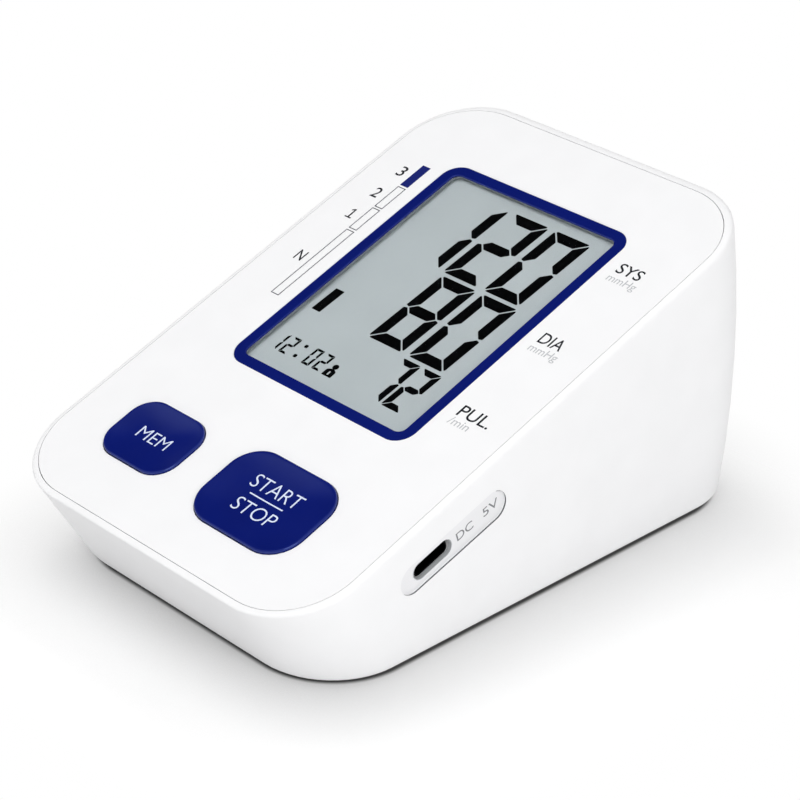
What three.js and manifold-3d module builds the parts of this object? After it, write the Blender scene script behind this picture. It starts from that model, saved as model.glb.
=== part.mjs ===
// Upper-arm blood pressure monitor: a white wedge-shaped desk unit with a sloped
// front panel, a framed liquid crystal display and two blue push buttons. Inside are a
// circuit board, an air pump, an exhaust valve, an air manifold and four AA cells.
//
// Lengths are millimetres. +X is the reader's right, +Y the back, +Z up, and the table
// is at z = 0. The panel's own frame has u to the right, v up the slope and w out of
// the panel's face; v = 0 is the panel's front edge.

import * as THREE from 'three';
import { mergeVertices } from 'three/addons/utils/BufferGeometryUtils.js';
import Module from 'manifold-3d';

const wasm = await Module();
wasm.setup();

// Driving dimensions: the case. Its length and width come from what it holds, below.
const panel_corner_radius = 15.4;
const panel_thickness = 2.4;
const panel_slope = THREE.MathUtils.degToRad(20.2);
const panel_front_height = 20.8;
const seam_gap = 0.15;
const rim_side = 1.35;
const rim_front = 1.5;
const rim_back = 2.65;
const base_front_setback = 9.55;
const base_side_inset = 2.7;
const base_corner_radius = 17;
const rear_wall_lean = 6.23;
const side_bow = 1.4;
const back_bow = 2.4;
const side_edge_rounding = 1.3;
const front_edge_rounding = 0.5;
const back_edge_rounding = 2.4;
const base_edge_rounding = 1.5;
const wall_thickness = 2.4;
const panel_ledge_width = 1.65;
const floor_thickness = 2.4;
const foot_standoff = 0.9;

// Driving dimensions: the display stack, each depth going down from the panel's face
const display_width = 50.6;
const display_length = 68.6;
const display_u = -0.1;
const display_back_margin = 17.3;
const display_corner_radius = 4.3;
const bezel_border = 2.6;
const bezel_inner_radius = 1.8;
const bezel_thickness = 1.2;
const window_setback = 0.4;
const window_thickness = 0.5;
const lcd_edge_margin = 1.2;
const lcd_thickness = 2.8;
const lcd_corner_radius = 1;
const lcd_tray_border = 4.2;
const lcd_tray_floor = 1.2;
const lcd_tray_corner_radius = 3;
const connector_width = 44;
const connector_thickness = 2.4;
const connector_from_lcd_edge = 1.6;
const connector_corner_radius = 0.3;

// Driving dimensions: the buttons
const start_button = { width: 27.4, length: 20.2, radius: 6.8, u: 12.9, v: 20.45 };
const memory_button = { width: 20, length: 15.8, radius: 5.4, u: -20, v: 20.55 };
const button_side_height = 0.1;
const button_edge_rounding = 0.5;
const button_dish_depth = 0.5;
const button_dish_middle = 1;
const button_flange_width = 0.8;
const button_flange_thickness = 0.8;
const button_stem_radius = 2.2;
const button_travel = 0.8;
const switch_size = 6;
const switch_height = 3.6;
const switch_plunger_radius = 1.7;
const switch_plunger_height = 1.8;

// Driving dimensions: the circuit board and what it carries. The places of the chips,
// the sensor and the rear screws are counted from the board's back edge.
const board_front_v = 15.4;
const board_past_bay = 1;
const board_thickness = 1.6;
const board_corner_cut = 6;
const board_edge_past_post = 0.3;
const board_post_radius = 2.4;
const board_post_gap = 1.6;
const rear_post_from_back = 11;
const board_screw_shank_radius = 1;
const board_screw_head_radius = 2.1;
const board_screw_head_height = 1.3;
const board_screw_length = 6.5;
const controller_size = 12;
const controller_height = 1.6;
const controller_from_back = 31;
const buzzer_radius = 6;
const buzzer_height = 3.4;
const buzzer_hole_radius = 1;
const buzzer_u = 18;
const buzzer_from_back = 41;

// Driving dimensions: the charging socket and its shallow recess in the right wall
const socket_depth_below_panel = 9.8;
const socket_v = 32.6;
const socket_width = 8.94;
const socket_height = 3.26;
const socket_length = 7.35;
const socket_corner_radius = 1.2;
const socket_sheet = 0.3;
const socket_back_wall = 1;
const socket_tongue_width = 6.7;
const socket_tongue_thickness = 0.7;
const socket_tongue_length = 4.5;
const socket_setback = 0.9;
const socket_past_board = 3.3;
const socket_tab_margin = 2.53;
const port_end_gap = 0.73;
const port_side_gap = 0.32;
const port_recess_length = 28.4;
const port_recess_height = 6.8;
const port_recess_depth = 0.5;
const port_recess_offset = 5.3;

// Driving dimensions: cells and their bay
const cell_diameter = 14.5;
const cell_length = 50.5;
const cell_edge = 0.5;
const cell_nub_radius = 2.7;
const cell_nub_height = 1.2;
const cell_count = 4;
const cell_spacing = 0.6;
const bay_wall = 1.4;
const bay_to_board = 1.18;
const bay_to_side = 8.9;
const contact_plate_width = 10.15;
const contact_plate_thickness = 0.5;
const contact_plate_height = 10;
const contact_reach = 2.6;
const contact_spring_radius = 3.6;
const contact_spring_tip_radius = 2.16;
const contact_bump_radius = 2.2;
const contact_bump_tip_radius = 1.54;
const door_hinge_pin_radius = 0.7;
const door_hinge_pin_length = 1;
const door_tab_width = 16;
const door_tab_length = 5;
const door_grip_radius = 16;
const door_grip_depth = 0.9;
const lead_radius = 0.7;

// Driving dimensions: the pump
const pump_radius = 13.5;
const pump_back_clearance = 1.95;
const pump_to_side = 7.8;
const motor_radius = 12.15;
const motor_length = 25;
const motor_wall = 0.9;
const rotor_radius = 9.4;
const rotor_length = 18;
const rotor_shaft_radius = 1;
const crank_radius = 6;
const crank_thickness = 3;
const crank_pin_offset = 3;
const crank_pin_length = 3;
const pump_head_length = 15;
const pump_head_wall = 2;
const diaphragm_radius = 13;
const diaphragm_thickness = 1.4;
const diaphragm_cup_count = 3;
const diaphragm_cup_radius = 3.1;
const diaphragm_cup_ring_radius = 6.75;
const diaphragm_cup_length = 3;
const pump_cap_length = 5;
const nozzle_radius = 2;
const nozzle_length = 5;
const cradle_thickness = 2;
const cradle_height = 9;
const cradle_width = 22;

// Driving dimensions: valve, sensor, manifold, cuff socket and hoses
const valve_length = 18;
const valve_width = 12;
const valve_height = 12.2;
const valve_left_x = -16;
const valve_nozzle_length = 4.5;
const valve_plunger_radius = 2;
const valve_plunger_length = 12;
const valve_plunger_proud = 2;
const valve_stroke = 0.8;
const sensor_size = 8;
const sensor_height = 4;
const sensor_inside_post = 4.8;
const sensor_from_back = 21;
const sensor_nozzle_radius = 1.5;
const sensor_nozzle_length = 6;
const manifold_size = 6;
const manifold_to_bay = 0.3;
const barb_radius = 1.9;
const barb_length = 3.6;
const cuff_socket_from_bay = 39.5;
const cuff_socket_z = 14;
const cuff_bore_radius = 3.2;
const cuff_bore_length = 7;
const cuff_tube_radius = 4.3;
const cuff_flange_radius = 6;
const cuff_flange_thickness = 1.2;
const cuff_back_wall = 1.4;
const cuff_barb_setback = 5.7;
const hose_radius = 2.2;
const hose_bend = 5;

// Driving dimensions: feet, case screws and the panel's rear hooks
const foot_radius = 5;
const foot_seat_depth = 0.9;
const front_foot_inset = { x: 17.8, y: 12.45 };
const rear_foot_inset = { x: 15.8, y: 14.75 };
const front_screw_inset = { x: 5.8, y: 12.95 };
const side_screw_from_bay = { x: 0.9, y: 21.5 };
const screw_boss_wall = 1.2;
const screw_boss_roof = 2.6;
const screw_seat_height = 5.6;
const screw_head_radius = 2.7;
const screw_head_height = 2;
const screw_shank_radius = 1.2;
const screw_length = 11;
const screw_pilot_depth = 1;
const panel_post_radius = 2.6;
const rear_hook_width = 12;
const rear_hook_u = 20;
const rear_hook_reach = 1.2;
const rear_hook_setback = 1.2;
const rear_hook_thickness = 1.4;
const rear_ledge_thickness = 1.6;

// Clearances between pieces, and how far joined shapes sink in and cuts run past
const fit_gap = 0.3;
const board_cutout_gap = 1;
const slide_gap = 0.2;
const slot_clearance = 0.01;
const sink = 0.5;
const overshoot = 1;

// Mesh fineness
const corner_steps = 14;
const plate_corner_steps = 4;
const radius_per_corner_step = 2.1;
const wall_steps = 6;
const rounding_steps = 4;
const side_runs = 6;
const end_runs = 3;
const dish_steps = 3;
const hose_steps = 12;
const round_sides = 20;
const small_round_sides = 10;
const hose_sides = 8;

// Depths of the display, the board and the switches below the panel's face
const slope_sine = Math.sin(panel_slope);
const slope_cosine = Math.cos(panel_slope);
const lcd_top = bezel_thickness + fit_gap;
const lcd_bottom = lcd_top + lcd_thickness;
const tray_top = panel_thickness + fit_gap;
const tray_floor_top = lcd_bottom + fit_gap;
const tray_bottom = tray_floor_top + lcd_tray_floor;
const board_top = socket_depth_below_panel + socket_height / 2 + fit_gap;
const board_bottom = board_top + board_thickness;
const board_screw_bottom = board_bottom + fit_gap + board_screw_head_height;
const switch_top = board_top - fit_gap - switch_height;
const plunger_top = switch_top - switch_plunger_height;

// The bay starts where the wedge is tall enough for its roof to clear the board
const floor_top = foot_standoff + floor_thickness;
const cell_radius = cell_diameter / 2;
const cell_pitch = cell_diameter + cell_spacing;
const cell_axis_z = floor_top + fit_gap + cell_radius;
const bay_half_width = (cell_count * cell_pitch + cell_spacing) / 2;
const contact_depth = 2 * fit_gap + contact_plate_thickness + contact_reach;
const bay_length = cell_length + 2 * contact_depth;
const bay_ceiling = cell_axis_z + cell_radius + fit_gap;
const bay_roof = bay_ceiling + bay_wall;
const bay_front_face_y = (bay_roof + bay_to_board - panel_front_height
  + board_bottom / slope_cosine) / Math.tan(panel_slope);
const bay_front_y = bay_front_face_y + bay_wall;
const bay_back_y = bay_front_y + bay_length;

// The pump lies behind the bay, and the case's back wall stands behind the pump
const pump_z = floor_top + fit_gap + pump_radius;
const pump_y = bay_back_y + bay_wall + 2 * fit_gap + pump_radius;
const base_back_y = pump_y + pump_radius + pump_back_clearance + wall_thickness;
const base_width = 2 * (bay_half_width + bay_wall + bay_to_side);
const panel_width = base_width + 2 * (base_side_inset - seam_gap - rim_side);
const panel_length = (base_back_y - rear_wall_lean) / slope_cosine - seam_gap - rim_back;
const motor_right_x = base_width / 2 - pump_to_side;
const motor_left_x = motor_right_x - motor_length;
const head_right_x = motor_left_x - fit_gap;
const head_left_x = head_right_x - pump_head_length;
const diaphragm_right_x = head_left_x - fit_gap;
const cap_right_x = diaphragm_right_x - diaphragm_thickness - fit_gap;
const cap_left_x = cap_right_x - pump_cap_length;

// Places on the panel and on the board
const display_v = panel_length - display_back_margin - display_length / 2;
const lcd_width = display_width - 2 * lcd_edge_margin;
const lcd_length = display_length - 2 * lcd_edge_margin;
const lcd_front_v = display_v - lcd_length / 2;
const board_back_v = (bay_back_y + board_past_bay - board_bottom * slope_sine)
  / slope_cosine;
const rear_post_u = lcd_width / 2 + lcd_tray_border + board_post_gap + board_post_radius;
const front_post_u = start_button.u + start_button.width / 2 + button_flange_width
  + board_post_gap + board_post_radius;
const front_post_v = (bay_front_face_y - fit_gap - board_screw_bottom * slope_sine)
  / slope_cosine - board_screw_head_radius;
const rear_post_v = board_back_v - rear_post_from_back;
const outermost_post_u = Math.max(front_post_u, rear_post_u);
const board_half_width = outermost_post_u + board_post_radius + board_edge_past_post;
const board_posts = [
  { name: 'front_left', u: -front_post_u, v: front_post_v },
  { name: 'front_right', u: front_post_u, v: front_post_v },
  { name: 'rear_left', u: -rear_post_u, v: rear_post_v },
  { name: 'rear_right', u: rear_post_u, v: rear_post_v },
];
const controller_v = board_back_v - controller_from_back;
const buzzer_v = board_back_v - buzzer_from_back;
const sensor_u = sensor_inside_post - rear_post_u;
const sensor_v = board_back_v - sensor_from_back;

// Places of what stands beside the bay or on its roof
const side_zone_x = bay_half_width + bay_wall;
const screw_hole_radius = screw_head_radius + fit_gap;
const screw_boss_radius = screw_hole_radius + screw_boss_wall;
const screw_seat_z = foot_standoff + screw_seat_height;
const boss_top = screw_seat_z + screw_boss_roof;
const front_screw = {
  x: base_width / 2 - front_screw_inset.x,
  y: base_front_setback + front_screw_inset.y,
};
const side_screw = {
  x: side_zone_x + side_screw_from_bay.x + screw_hole_radius,
  y: bay_front_y + side_screw_from_bay.y,
};
const front_foot = {
  x: base_width / 2 - front_foot_inset.x,
  y: base_front_setback + front_foot_inset.y,
};
const rear_foot = {
  x: base_width / 2 - rear_foot_inset.x,
  y: base_back_y - rear_foot_inset.y,
};
const screw_places = [
  { name: 'front_left', x: -front_screw.x, y: front_screw.y },
  { name: 'front_right', x: front_screw.x, y: front_screw.y },
  { name: 'side_left', x: -side_screw.x, y: side_screw.y },
  { name: 'side_right', x: side_screw.x, y: side_screw.y },
];
const foot_places = [
  { name: 'front_left', x: -front_foot.x, y: front_foot.y },
  { name: 'front_right', x: front_foot.x, y: front_foot.y },
  { name: 'rear_left', x: -rear_foot.x, y: rear_foot.y },
  { name: 'rear_right', x: rear_foot.x, y: rear_foot.y },
];
const cuff_socket_y = bay_front_y + cuff_socket_from_bay;
const manifold_x = -(side_zone_x + manifold_to_bay + manifold_size / 2);
const valve_right_x = valve_left_x + valve_length;
const valve_y = cuff_socket_y;
const valve_z = bay_roof + fit_gap + valve_height / 2;

// Joins and cuts

function asSolid(geometry) {
  const bare = geometry.index ? geometry.toNonIndexed() : geometry.clone();
  for (const name of Object.keys(bare.attributes)) {
    if (name !== 'position') bare.deleteAttribute(name);
  }
  const merged = mergeVertices(bare, 1e-4);
  return new wasm.Manifold(new wasm.Mesh({
    numProp: 3,
    vertProperties: merged.attributes.position.array,
    triVerts: new Uint32Array(merged.index.array),
  }));
}

function asGeometry(solid) {
  const { vertProperties, triVerts } = solid.getMesh();
  const indexed = new THREE.BufferGeometry();
  indexed.setAttribute('position', new THREE.BufferAttribute(vertProperties, 3));
  indexed.setIndex(new THREE.BufferAttribute(triVerts, 1));
  const faceted = indexed.toNonIndexed();
  faceted.computeVertexNormals();
  return faceted;
}

function join(first, ...others) {
  return asGeometry(others.reduce((sum, g) => sum.add(asSolid(g)), asSolid(first)));
}

function cut(first, ...others) {
  return asGeometry(others.reduce((rest, g) => rest.subtract(asSolid(g)), asSolid(first)));
}

function overlap(first, second) {
  return asGeometry(asSolid(first).intersect(asSolid(second)));
}

// Basic shapes, each placed where it belongs

function box(x0, x1, y0, y1, z0, z1) {
  const shape = new THREE.BoxGeometry(x1 - x0, y1 - y0, z1 - z0);
  return shape.translate((x0 + x1) / 2, (y0 + y1) / 2, (z0 + z1) / 2);
}

// A round bar along x, y or z from one coordinate to another
function bar(axis, radius, from, to, [a, b], sides = round_sides) {
  const shape = new THREE.CylinderGeometry(radius, radius, to - from, sides);
  const middle = (from + to) / 2;
  if (axis === 'x') return shape.rotateZ(-Math.PI / 2).translate(middle, a, b);
  if (axis === 'y') return shape.translate(a, middle, b);
  return shape.rotateX(Math.PI / 2).translate(a, b, middle);
}

function roundedRectangle(width, length, radius) {
  const shape = new THREE.Shape();
  const x = width / 2 - radius;
  const y = length / 2 - radius;
  shape.absarc(x, y, radius, 0, Math.PI / 2);
  shape.absarc(-x, y, radius, Math.PI / 2, Math.PI);
  shape.absarc(-x, -y, radius, Math.PI, 1.5 * Math.PI);
  shape.absarc(x, -y, radius, 1.5 * Math.PI, 2 * Math.PI);
  shape.closePath();
  return shape;
}

// A rounded plate in the panel's frame between two depths below the panel's face. Its
// larger corners are drawn finer.
function plate(width, length, radius, u, v, top_depth, bottom_depth) {
  const finer = Math.round(radius / radius_per_corner_step);
  const geometry = new THREE.ExtrudeGeometry(roundedRectangle(width, length, radius), {
    depth: bottom_depth - top_depth,
    bevelEnabled: false,
    curveSegments: Math.max(plate_corner_steps, finer),
  });
  return geometry.translate(u, v, -bottom_depth);
}

// A tube along a curve
function tube(curve, radius, steps) {
  const section = new THREE.Shape();
  section.absarc(0, 0, radius, 0, 2 * Math.PI);
  return new THREE.ExtrudeGeometry(section, {
    extrudePath: curve,
    steps,
    curveSegments: hose_sides / 2,
    bevelEnabled: false,
  });
}

// The panel's frame inside the case's frame

const panel_matrix = new THREE.Matrix4()
  .makeRotationX(panel_slope)
  .setPosition(0, 0, panel_front_height);
const panel_inverse = panel_matrix.clone().invert();

function onPanel(u, v, depth = 0) {
  return new THREE.Vector3(u, v, -depth).applyMatrix4(panel_matrix);
}

function intoPanelFrame(geometry) {
  return geometry.applyMatrix4(panel_inverse);
}

function outOfPanelFrame(geometry) {
  return geometry.applyMatrix4(panel_matrix);
}

function panelHeightAt(y) {
  return panel_front_height + y * Math.tan(panel_slope);
}

// A rounded rectangle walked counter-clockwise from the right end of its front edge,
// each point with its outward normal. Its straight sides and ends have some runs each.
function outline(half_width, front, back, radius, along_sides = 1, along_ends = 1) {
  const corners = [
    [half_width - radius, front + radius, -0.5 * Math.PI, along_ends],
    [half_width - radius, back - radius, 0, along_sides],
    [radius - half_width, back - radius, 0.5 * Math.PI, along_ends],
    [radius - half_width, front + radius, Math.PI, along_sides],
  ];
  const points = [];
  corners.forEach(([cx, cy, start], index) => {
    for (let i = 0; i <= corner_steps; i++) {
      const angle = start + (0.5 * Math.PI * i) / corner_steps;
      const nx = Math.cos(angle);
      const ny = Math.sin(angle);
      points.push({ x: cx + radius * nx, y: cy + radius * ny, nx, ny });
    }
    const [next_x, next_y, , runs] = corners[(index + 1) % corners.length];
    const from = points[points.length - 1];
    for (let i = 1; i < runs; i++) {
      const x = from.x + ((next_x - cx) * i) / runs;
      const y = from.y + ((next_y - cy) * i) / runs;
      points.push({ x, y, nx: from.nx, ny: from.ny });
    }
  });
  return points;
}

// A size that differs at the front, sides and back, blended by the outward normal
function byDirection(point, front, side, back) {
  const toward_back = Math.max(0, point.ny) ** 2;
  const toward_front = Math.max(0, -point.ny) ** 2;
  return side + (back - side) * toward_back + (front - side) * toward_front;
}

const panel_outline = outline(panel_width / 2, 0, panel_length, panel_corner_radius,
  side_runs, end_runs);
const base_outline = outline(base_width / 2, base_front_setback, base_back_y,
  base_corner_radius, side_runs, end_runs);
const rear_wall_height = onPanel(0, panel_length + seam_gap + rim_back).z - foot_standoff;

// How far the case's rim reaches out past the panel's edge
function rimReach(point) {
  return seam_gap + byDirection(point, rim_front, rim_side, rim_back);
}

// The case wall from the panel's rim (s = 0) down to the base (s = 1) with its outward
// bow: its top lies some reach past the panel's edge and may be lifted over it, and its
// foot lies some inset inside the base's outline.
function wallRing(s, reach = rimReach, base_inset = 0, base_height = foot_standoff, lift = 0) {
  return panel_outline.map((p, i) => {
    const rim = reach(p);
    const top = onPanel(p.x + rim * p.nx, p.y + rim * p.ny, -lift);
    const b = base_outline[i];
    const foot = new THREE.Vector3(
      b.x - base_inset * b.nx, b.y - base_inset * b.ny, base_height);
    const bow = side_bow * b.nx ** 2 + back_bow * Math.max(0, b.ny) ** 2;
    const height_share = (top.z - base_height) / rear_wall_height;
    const swell = bow * height_share * 4 * s * (1 - s);
    return top.lerp(foot, s).add(new THREE.Vector3(b.nx * swell, b.ny * swell, 0));
  });
}

// A closed skin over rings of equal point count, listed from top to bottom
function loft(rings) {
  const count = rings[0].length;
  const centre = (ring) => ring
    .reduce((sum, p) => sum.add(p), new THREE.Vector3())
    .divideScalar(ring.length);
  const points = [...rings.flat(), centre(rings[0]), centre(rings[rings.length - 1])];
  const top_centre = points.length - 2;
  const base_centre = points.length - 1;
  const base_start = (rings.length - 1) * count;
  const faces = [];
  for (let i = 0; i < count; i++) {
    const j = (i + 1) % count;
    faces.push(top_centre, i, j);
    faces.push(base_centre, base_start + j, base_start + i);
    for (let r = 0; r < rings.length - 1; r++) {
      const upper = r * count;
      const lower = upper + count;
      faces.push(upper + i, lower + i, lower + j);
      faces.push(upper + i, lower + j, upper + j);
    }
  }
  const geometry = new THREE.BufferGeometry().setFromPoints(points);
  geometry.setIndex(faces);
  return geometry;
}

// Rings that round an edge over: each point runs from its start along a curve that its
// corner pulls out, and stops one step short of its end
function roundedRings(start, corner, end) {
  const rings = [];
  for (let k = 0; k < rounding_steps; k++) {
    const t = k / rounding_steps;
    rings.push(corner.map((c, i) => new THREE.QuadraticBezierCurve3(start[i], c, end[i])
      .getPoint(t)));
  }
  return rings;
}

// Case shell

const top_corner = wallRing(0);
const base_corner = wallRing(1);

// The shares of the wall's length where its top and base roundings end
function straightStretch(index, top_rounding, base_rounding) {
  const length = top_corner[index].distanceTo(base_corner[index]);
  return { upper: top_rounding / length, lower: 1 - base_rounding / length };
}

function caseOuter() {
  const rounding = panel_outline.map((p) => byDirection(
    p, front_edge_rounding, side_edge_rounding, back_edge_rounding));
  const top_start = panel_outline.map((p, i) => {
    const rim = rimReach(p) - rounding[i];
    return onPanel(p.x + rim * p.nx, p.y + rim * p.ny);
  });
  const base_end = base_outline.map((b) => new THREE.Vector3(
    b.x - base_edge_rounding * b.nx, b.y - base_edge_rounding * b.ny, foot_standoff));
  const span = rounding.map((r, i) => straightStretch(i, r, base_edge_rounding));
  const wall = [];
  for (let k = 0; k <= wall_steps; k++) {
    const shares = span.map(({ upper, lower }) => upper + (lower - upper) * (k / wall_steps));
    wall.push(shares.map((s, i) => wallRing(s)[i]));
  }
  const top_rings = roundedRings(top_start, top_corner, wall[0]);
  const base_rings = roundedRings(base_end, base_corner, wall[wall.length - 1]).reverse();
  return loft([...top_rings, ...wall, ...base_rings]);
}

function caseCavity() {
  const ledge = () => seam_gap - panel_ledge_width;
  const rings = [];
  for (let k = 0; k <= wall_steps; k++) {
    rings.push(wallRing(k / wall_steps, ledge, wall_thickness, floor_top, overshoot));
  }
  return loft(rings);
}

// The panel's two rear hooks reach under the rear ledge into pockets in the back wall
const rear_ledge_v = panel_length + seam_gap - panel_ledge_width;
const hook_top = panel_thickness + 2 * fit_gap + rear_ledge_thickness;

function hookPockets() {
  return [-1, 1].map((side) => {
    const u0 = side * rear_hook_u - rear_hook_width / 2 - fit_gap;
    return outOfPanelFrame(box(u0, u0 + rear_hook_width + 2 * fit_gap,
      rear_ledge_v - rear_hook_setback - 2 * rear_hook_thickness,
      rear_ledge_v + rear_hook_reach + fit_gap,
      -hook_top - rear_hook_thickness - fit_gap, fit_gap - hook_top));
  });
}

function panelRecess() {
  return plate(panel_width + 2 * seam_gap, panel_length + 2 * seam_gap,
    panel_corner_radius + seam_gap, 0, panel_length / 2,
    -overshoot, panel_thickness + fit_gap);
}

// The side wall's outer face: how far out it is at a place, and how it leans there
function sideWallX(y, z) {
  const top_z = panelHeightAt(y);
  const s = (top_z - z) / (top_z - foot_standoff);
  const top_x = panel_width / 2 + seam_gap + rim_side;
  const swell = side_bow * ((top_z - foot_standoff) / rear_wall_height) * 4 * s * (1 - s);
  return top_x * (1 - s) + (base_width / 2) * s + swell;
}

// The wall's lean is the change of its outer face over one millimetre of height
const port_centre = onPanel(0, socket_v + port_recess_offset, socket_depth_below_panel);
const port_face_x = sideWallX(port_centre.y, port_centre.z);
const port_lean = Math.atan(sideWallX(port_centre.y, port_centre.z + 1) - port_face_x);
const socket_mouth_x = port_face_x - port_recess_depth - socket_setback;
const socket_back_x = socket_mouth_x - socket_length;
const board_tab_u = socket_mouth_x - socket_past_board;

// A slot with round ends through the right wall, its long way along the slope
function wallSlot(length, height, v, from_x, to_x, lean) {
  const shape = roundedRectangle(length, height, height / 2 - slot_clearance);
  const slot = new THREE.ExtrudeGeometry(shape, {
    depth: to_x - from_x,
    bevelEnabled: false,
    curveSegments: plate_corner_steps,
  });
  const centre = onPanel(0, v, socket_depth_below_panel);
  return slot
    .translate(0, 0, from_x - port_face_x)
    .rotateZ(panel_slope)
    .applyMatrix4(new THREE.Matrix4().makeBasis(
      new THREE.Vector3(0, 1, 0), new THREE.Vector3(0, 0, 1), new THREE.Vector3(1, 0, 0)))
    .rotateY(lean)
    .translate(port_face_x, centre.y, centre.z);
}

const cuff_face_x = fit_gap - sideWallX(cuff_socket_y, cuff_socket_z);
const cuff_barb_x = cuff_face_x + cuff_barb_setback;
const cuff_reach = cuff_tube_radius + barb_length;

function pumpCradle(x, radius) {
  const rib = box(x - cradle_thickness / 2, x + cradle_thickness / 2,
    pump_y - cradle_width / 2, pump_y + cradle_width / 2,
    floor_top - sink, floor_top + cradle_height);
  const seat = bar('x', radius + fit_gap, x - cradle_thickness, x + cradle_thickness,
    [pump_y, pump_z], 2 * round_sides);
  return cut(rib, seat);
}

const hinge_y = bay_back_y - floor_thickness / 2 - fit_gap;
const hinge_z = foot_standoff + floor_thickness / 2;
const door_half_width = bay_half_width - fit_gap;

// What the shell holds besides its walls: screw bosses, the bay's box and two cradles
function shellFurniture() {
  const bosses = screw_places.map(({ x, y }) => bar(
    'z', screw_boss_radius, foot_standoff, boss_top, [x, y]));
  const bay_box = box(-bay_half_width - bay_wall, bay_half_width + bay_wall,
    bay_front_face_y, bay_back_y + bay_wall, foot_standoff, bay_roof);
  const cradles = [
    pumpCradle((head_left_x + head_right_x) / 2, pump_radius),
    pumpCradle(motor_right_x - motor_length / 4, motor_radius),
  ];
  return [bay_box, ...bosses, ...cradles];
}

function screwHoles() {
  return screw_places.flatMap(({ x, y }) => [
    bar('z', screw_hole_radius, -overshoot, screw_seat_z, [x, y]),
    bar('z', screw_shank_radius + fit_gap, -overshoot, boss_top + overshoot, [x, y],
      small_round_sides),
    bar('z', panel_post_radius + fit_gap, boss_top, panelHeightAt(y), [x, y]),
  ]);
}

// The open bay, the notch for the door's tab, the bore for its hinge pins, and the
// slots in the roof that the end terminals stand up through
function baySpaces() {
  const bay = box(-bay_half_width, bay_half_width, bay_front_y, bay_back_y,
    -overshoot, bay_ceiling);
  const tab_notch = box(-door_tab_width / 2 - fit_gap, door_tab_width / 2 + fit_gap,
    bay_front_y - door_tab_length - fit_gap, bay_front_y + overshoot,
    -overshoot, floor_top + overshoot);
  const pin_reach = door_half_width + door_hinge_pin_length + fit_gap;
  const hinge_bore = bar('x', door_hinge_pin_radius + slide_gap, -pin_reach, pin_reach,
    [hinge_y, hinge_z], small_round_sides);
  const terminal_slots = [0, cell_count - 1].map((index) => box(
    cellX(index) - 2 * lead_radius, cellX(index) + 2 * lead_radius,
    bay_back_y - 2 * fit_gap - contact_plate_thickness, bay_back_y + slot_clearance,
    bay_ceiling - overshoot, bay_roof + overshoot));
  return [bay, tab_notch, hinge_bore, ...terminal_slots];
}

function portSpaces() {
  return [
    wallSlot(port_recess_length, port_recess_height, socket_v + port_recess_offset,
      port_face_x - port_recess_depth, port_face_x + wall_thickness, port_lean),
    wallSlot(socket_width + 2 * port_end_gap, socket_height + 2 * port_side_gap, socket_v,
      port_face_x - 2 * wall_thickness, port_face_x + wall_thickness, 0),
  ];
}

function cuffSpaces() {
  const place = [cuff_socket_y, cuff_socket_z];
  const outside = cuff_face_x - wall_thickness;
  return [
    bar('x', cuff_tube_radius + fit_gap, outside, cuff_face_x + 2 * wall_thickness, place),
    bar('x', cuff_flange_radius + fit_gap, outside,
      cuff_face_x + cuff_flange_thickness + fit_gap, place),
  ];
}

function bodyShell() {
  const outer = caseOuter();
  const hollow = cut(outer, caseCavity());
  const furnished = overlap(join(hollow, ...shellFurniture()), outer);
  const foot_seats = foot_places.map(({ x, y }) => bar(
    'z', foot_radius + fit_gap, -overshoot, foot_standoff + foot_seat_depth, [x, y]));
  return cut(furnished, outOfPanelFrame(panelRecess()), ...hookPockets(), ...screwHoles(),
    ...foot_seats, ...baySpaces(), ...portSpaces(), ...cuffSpaces());
}

// Front panel with its display opening, button openings, posts and rear hooks

function buttonOpening({ width, length, radius, u, v }) {
  return plate(width + 2 * slide_gap, length + 2 * slide_gap, radius + slide_gap, u, v,
    -overshoot, panel_thickness + overshoot);
}

// The panel's posts and hooks are rooted inside its thickness, sink deep from below
function casePosts() {
  const root = (panel_thickness - sink) / slope_cosine;
  return screw_places.map(({ x, y }) => intoPanelFrame(bar('z', panel_post_radius,
    boss_top + fit_gap, panelHeightAt(y) - root, [x, y])));
}

function casePilots() {
  return screw_places.map(({ x, y }) => intoPanelFrame(bar('z',
    screw_shank_radius + slide_gap, boss_top - overshoot,
    screw_seat_z + screw_length + screw_pilot_depth, [x, y], small_round_sides)));
}

function boardStands() {
  return board_posts.map(({ u, v }) => bar('z', board_post_radius,
    fit_gap - board_top, sink - panel_thickness, [u, v]));
}

function boardPilots() {
  return board_posts.map(({ u, v }) => bar('z', board_screw_shank_radius + slide_gap,
    -board_top - overshoot, board_screw_length + fit_gap - board_bottom, [u, v],
    small_round_sides));
}

function rearHooks() {
  const neck_back = rear_ledge_v - rear_hook_setback;
  const hook_bottom = -hook_top - rear_hook_thickness;
  return [-1, 1].flatMap((side) => {
    const u0 = side * rear_hook_u - rear_hook_width / 2;
    const u1 = u0 + rear_hook_width;
    return [
      box(u0, u1, neck_back - rear_hook_thickness, neck_back,
        hook_bottom, sink - panel_thickness),
      box(u0, u1, neck_back - rear_hook_thickness, rear_ledge_v + rear_hook_reach,
        hook_bottom, -hook_top),
    ];
  });
}

function frontPanel() {
  const sheet = plate(panel_width, panel_length, panel_corner_radius, 0, panel_length / 2,
    0, panel_thickness);
  const display_opening = plate(display_width + 2 * fit_gap, display_length + 2 * fit_gap,
    display_corner_radius + fit_gap, display_u, display_v,
    -overshoot, panel_thickness + overshoot);
  return cut(join(sheet, ...casePosts(), ...boardStands(), ...rearHooks()),
    display_opening, buttonOpening(start_button), buttonOpening(memory_button),
    ...casePilots(), ...boardPilots());
}

// Display stack

const window_opening = {
  width: display_width - 2 * bezel_border,
  length: display_length - 2 * bezel_border,
};

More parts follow.
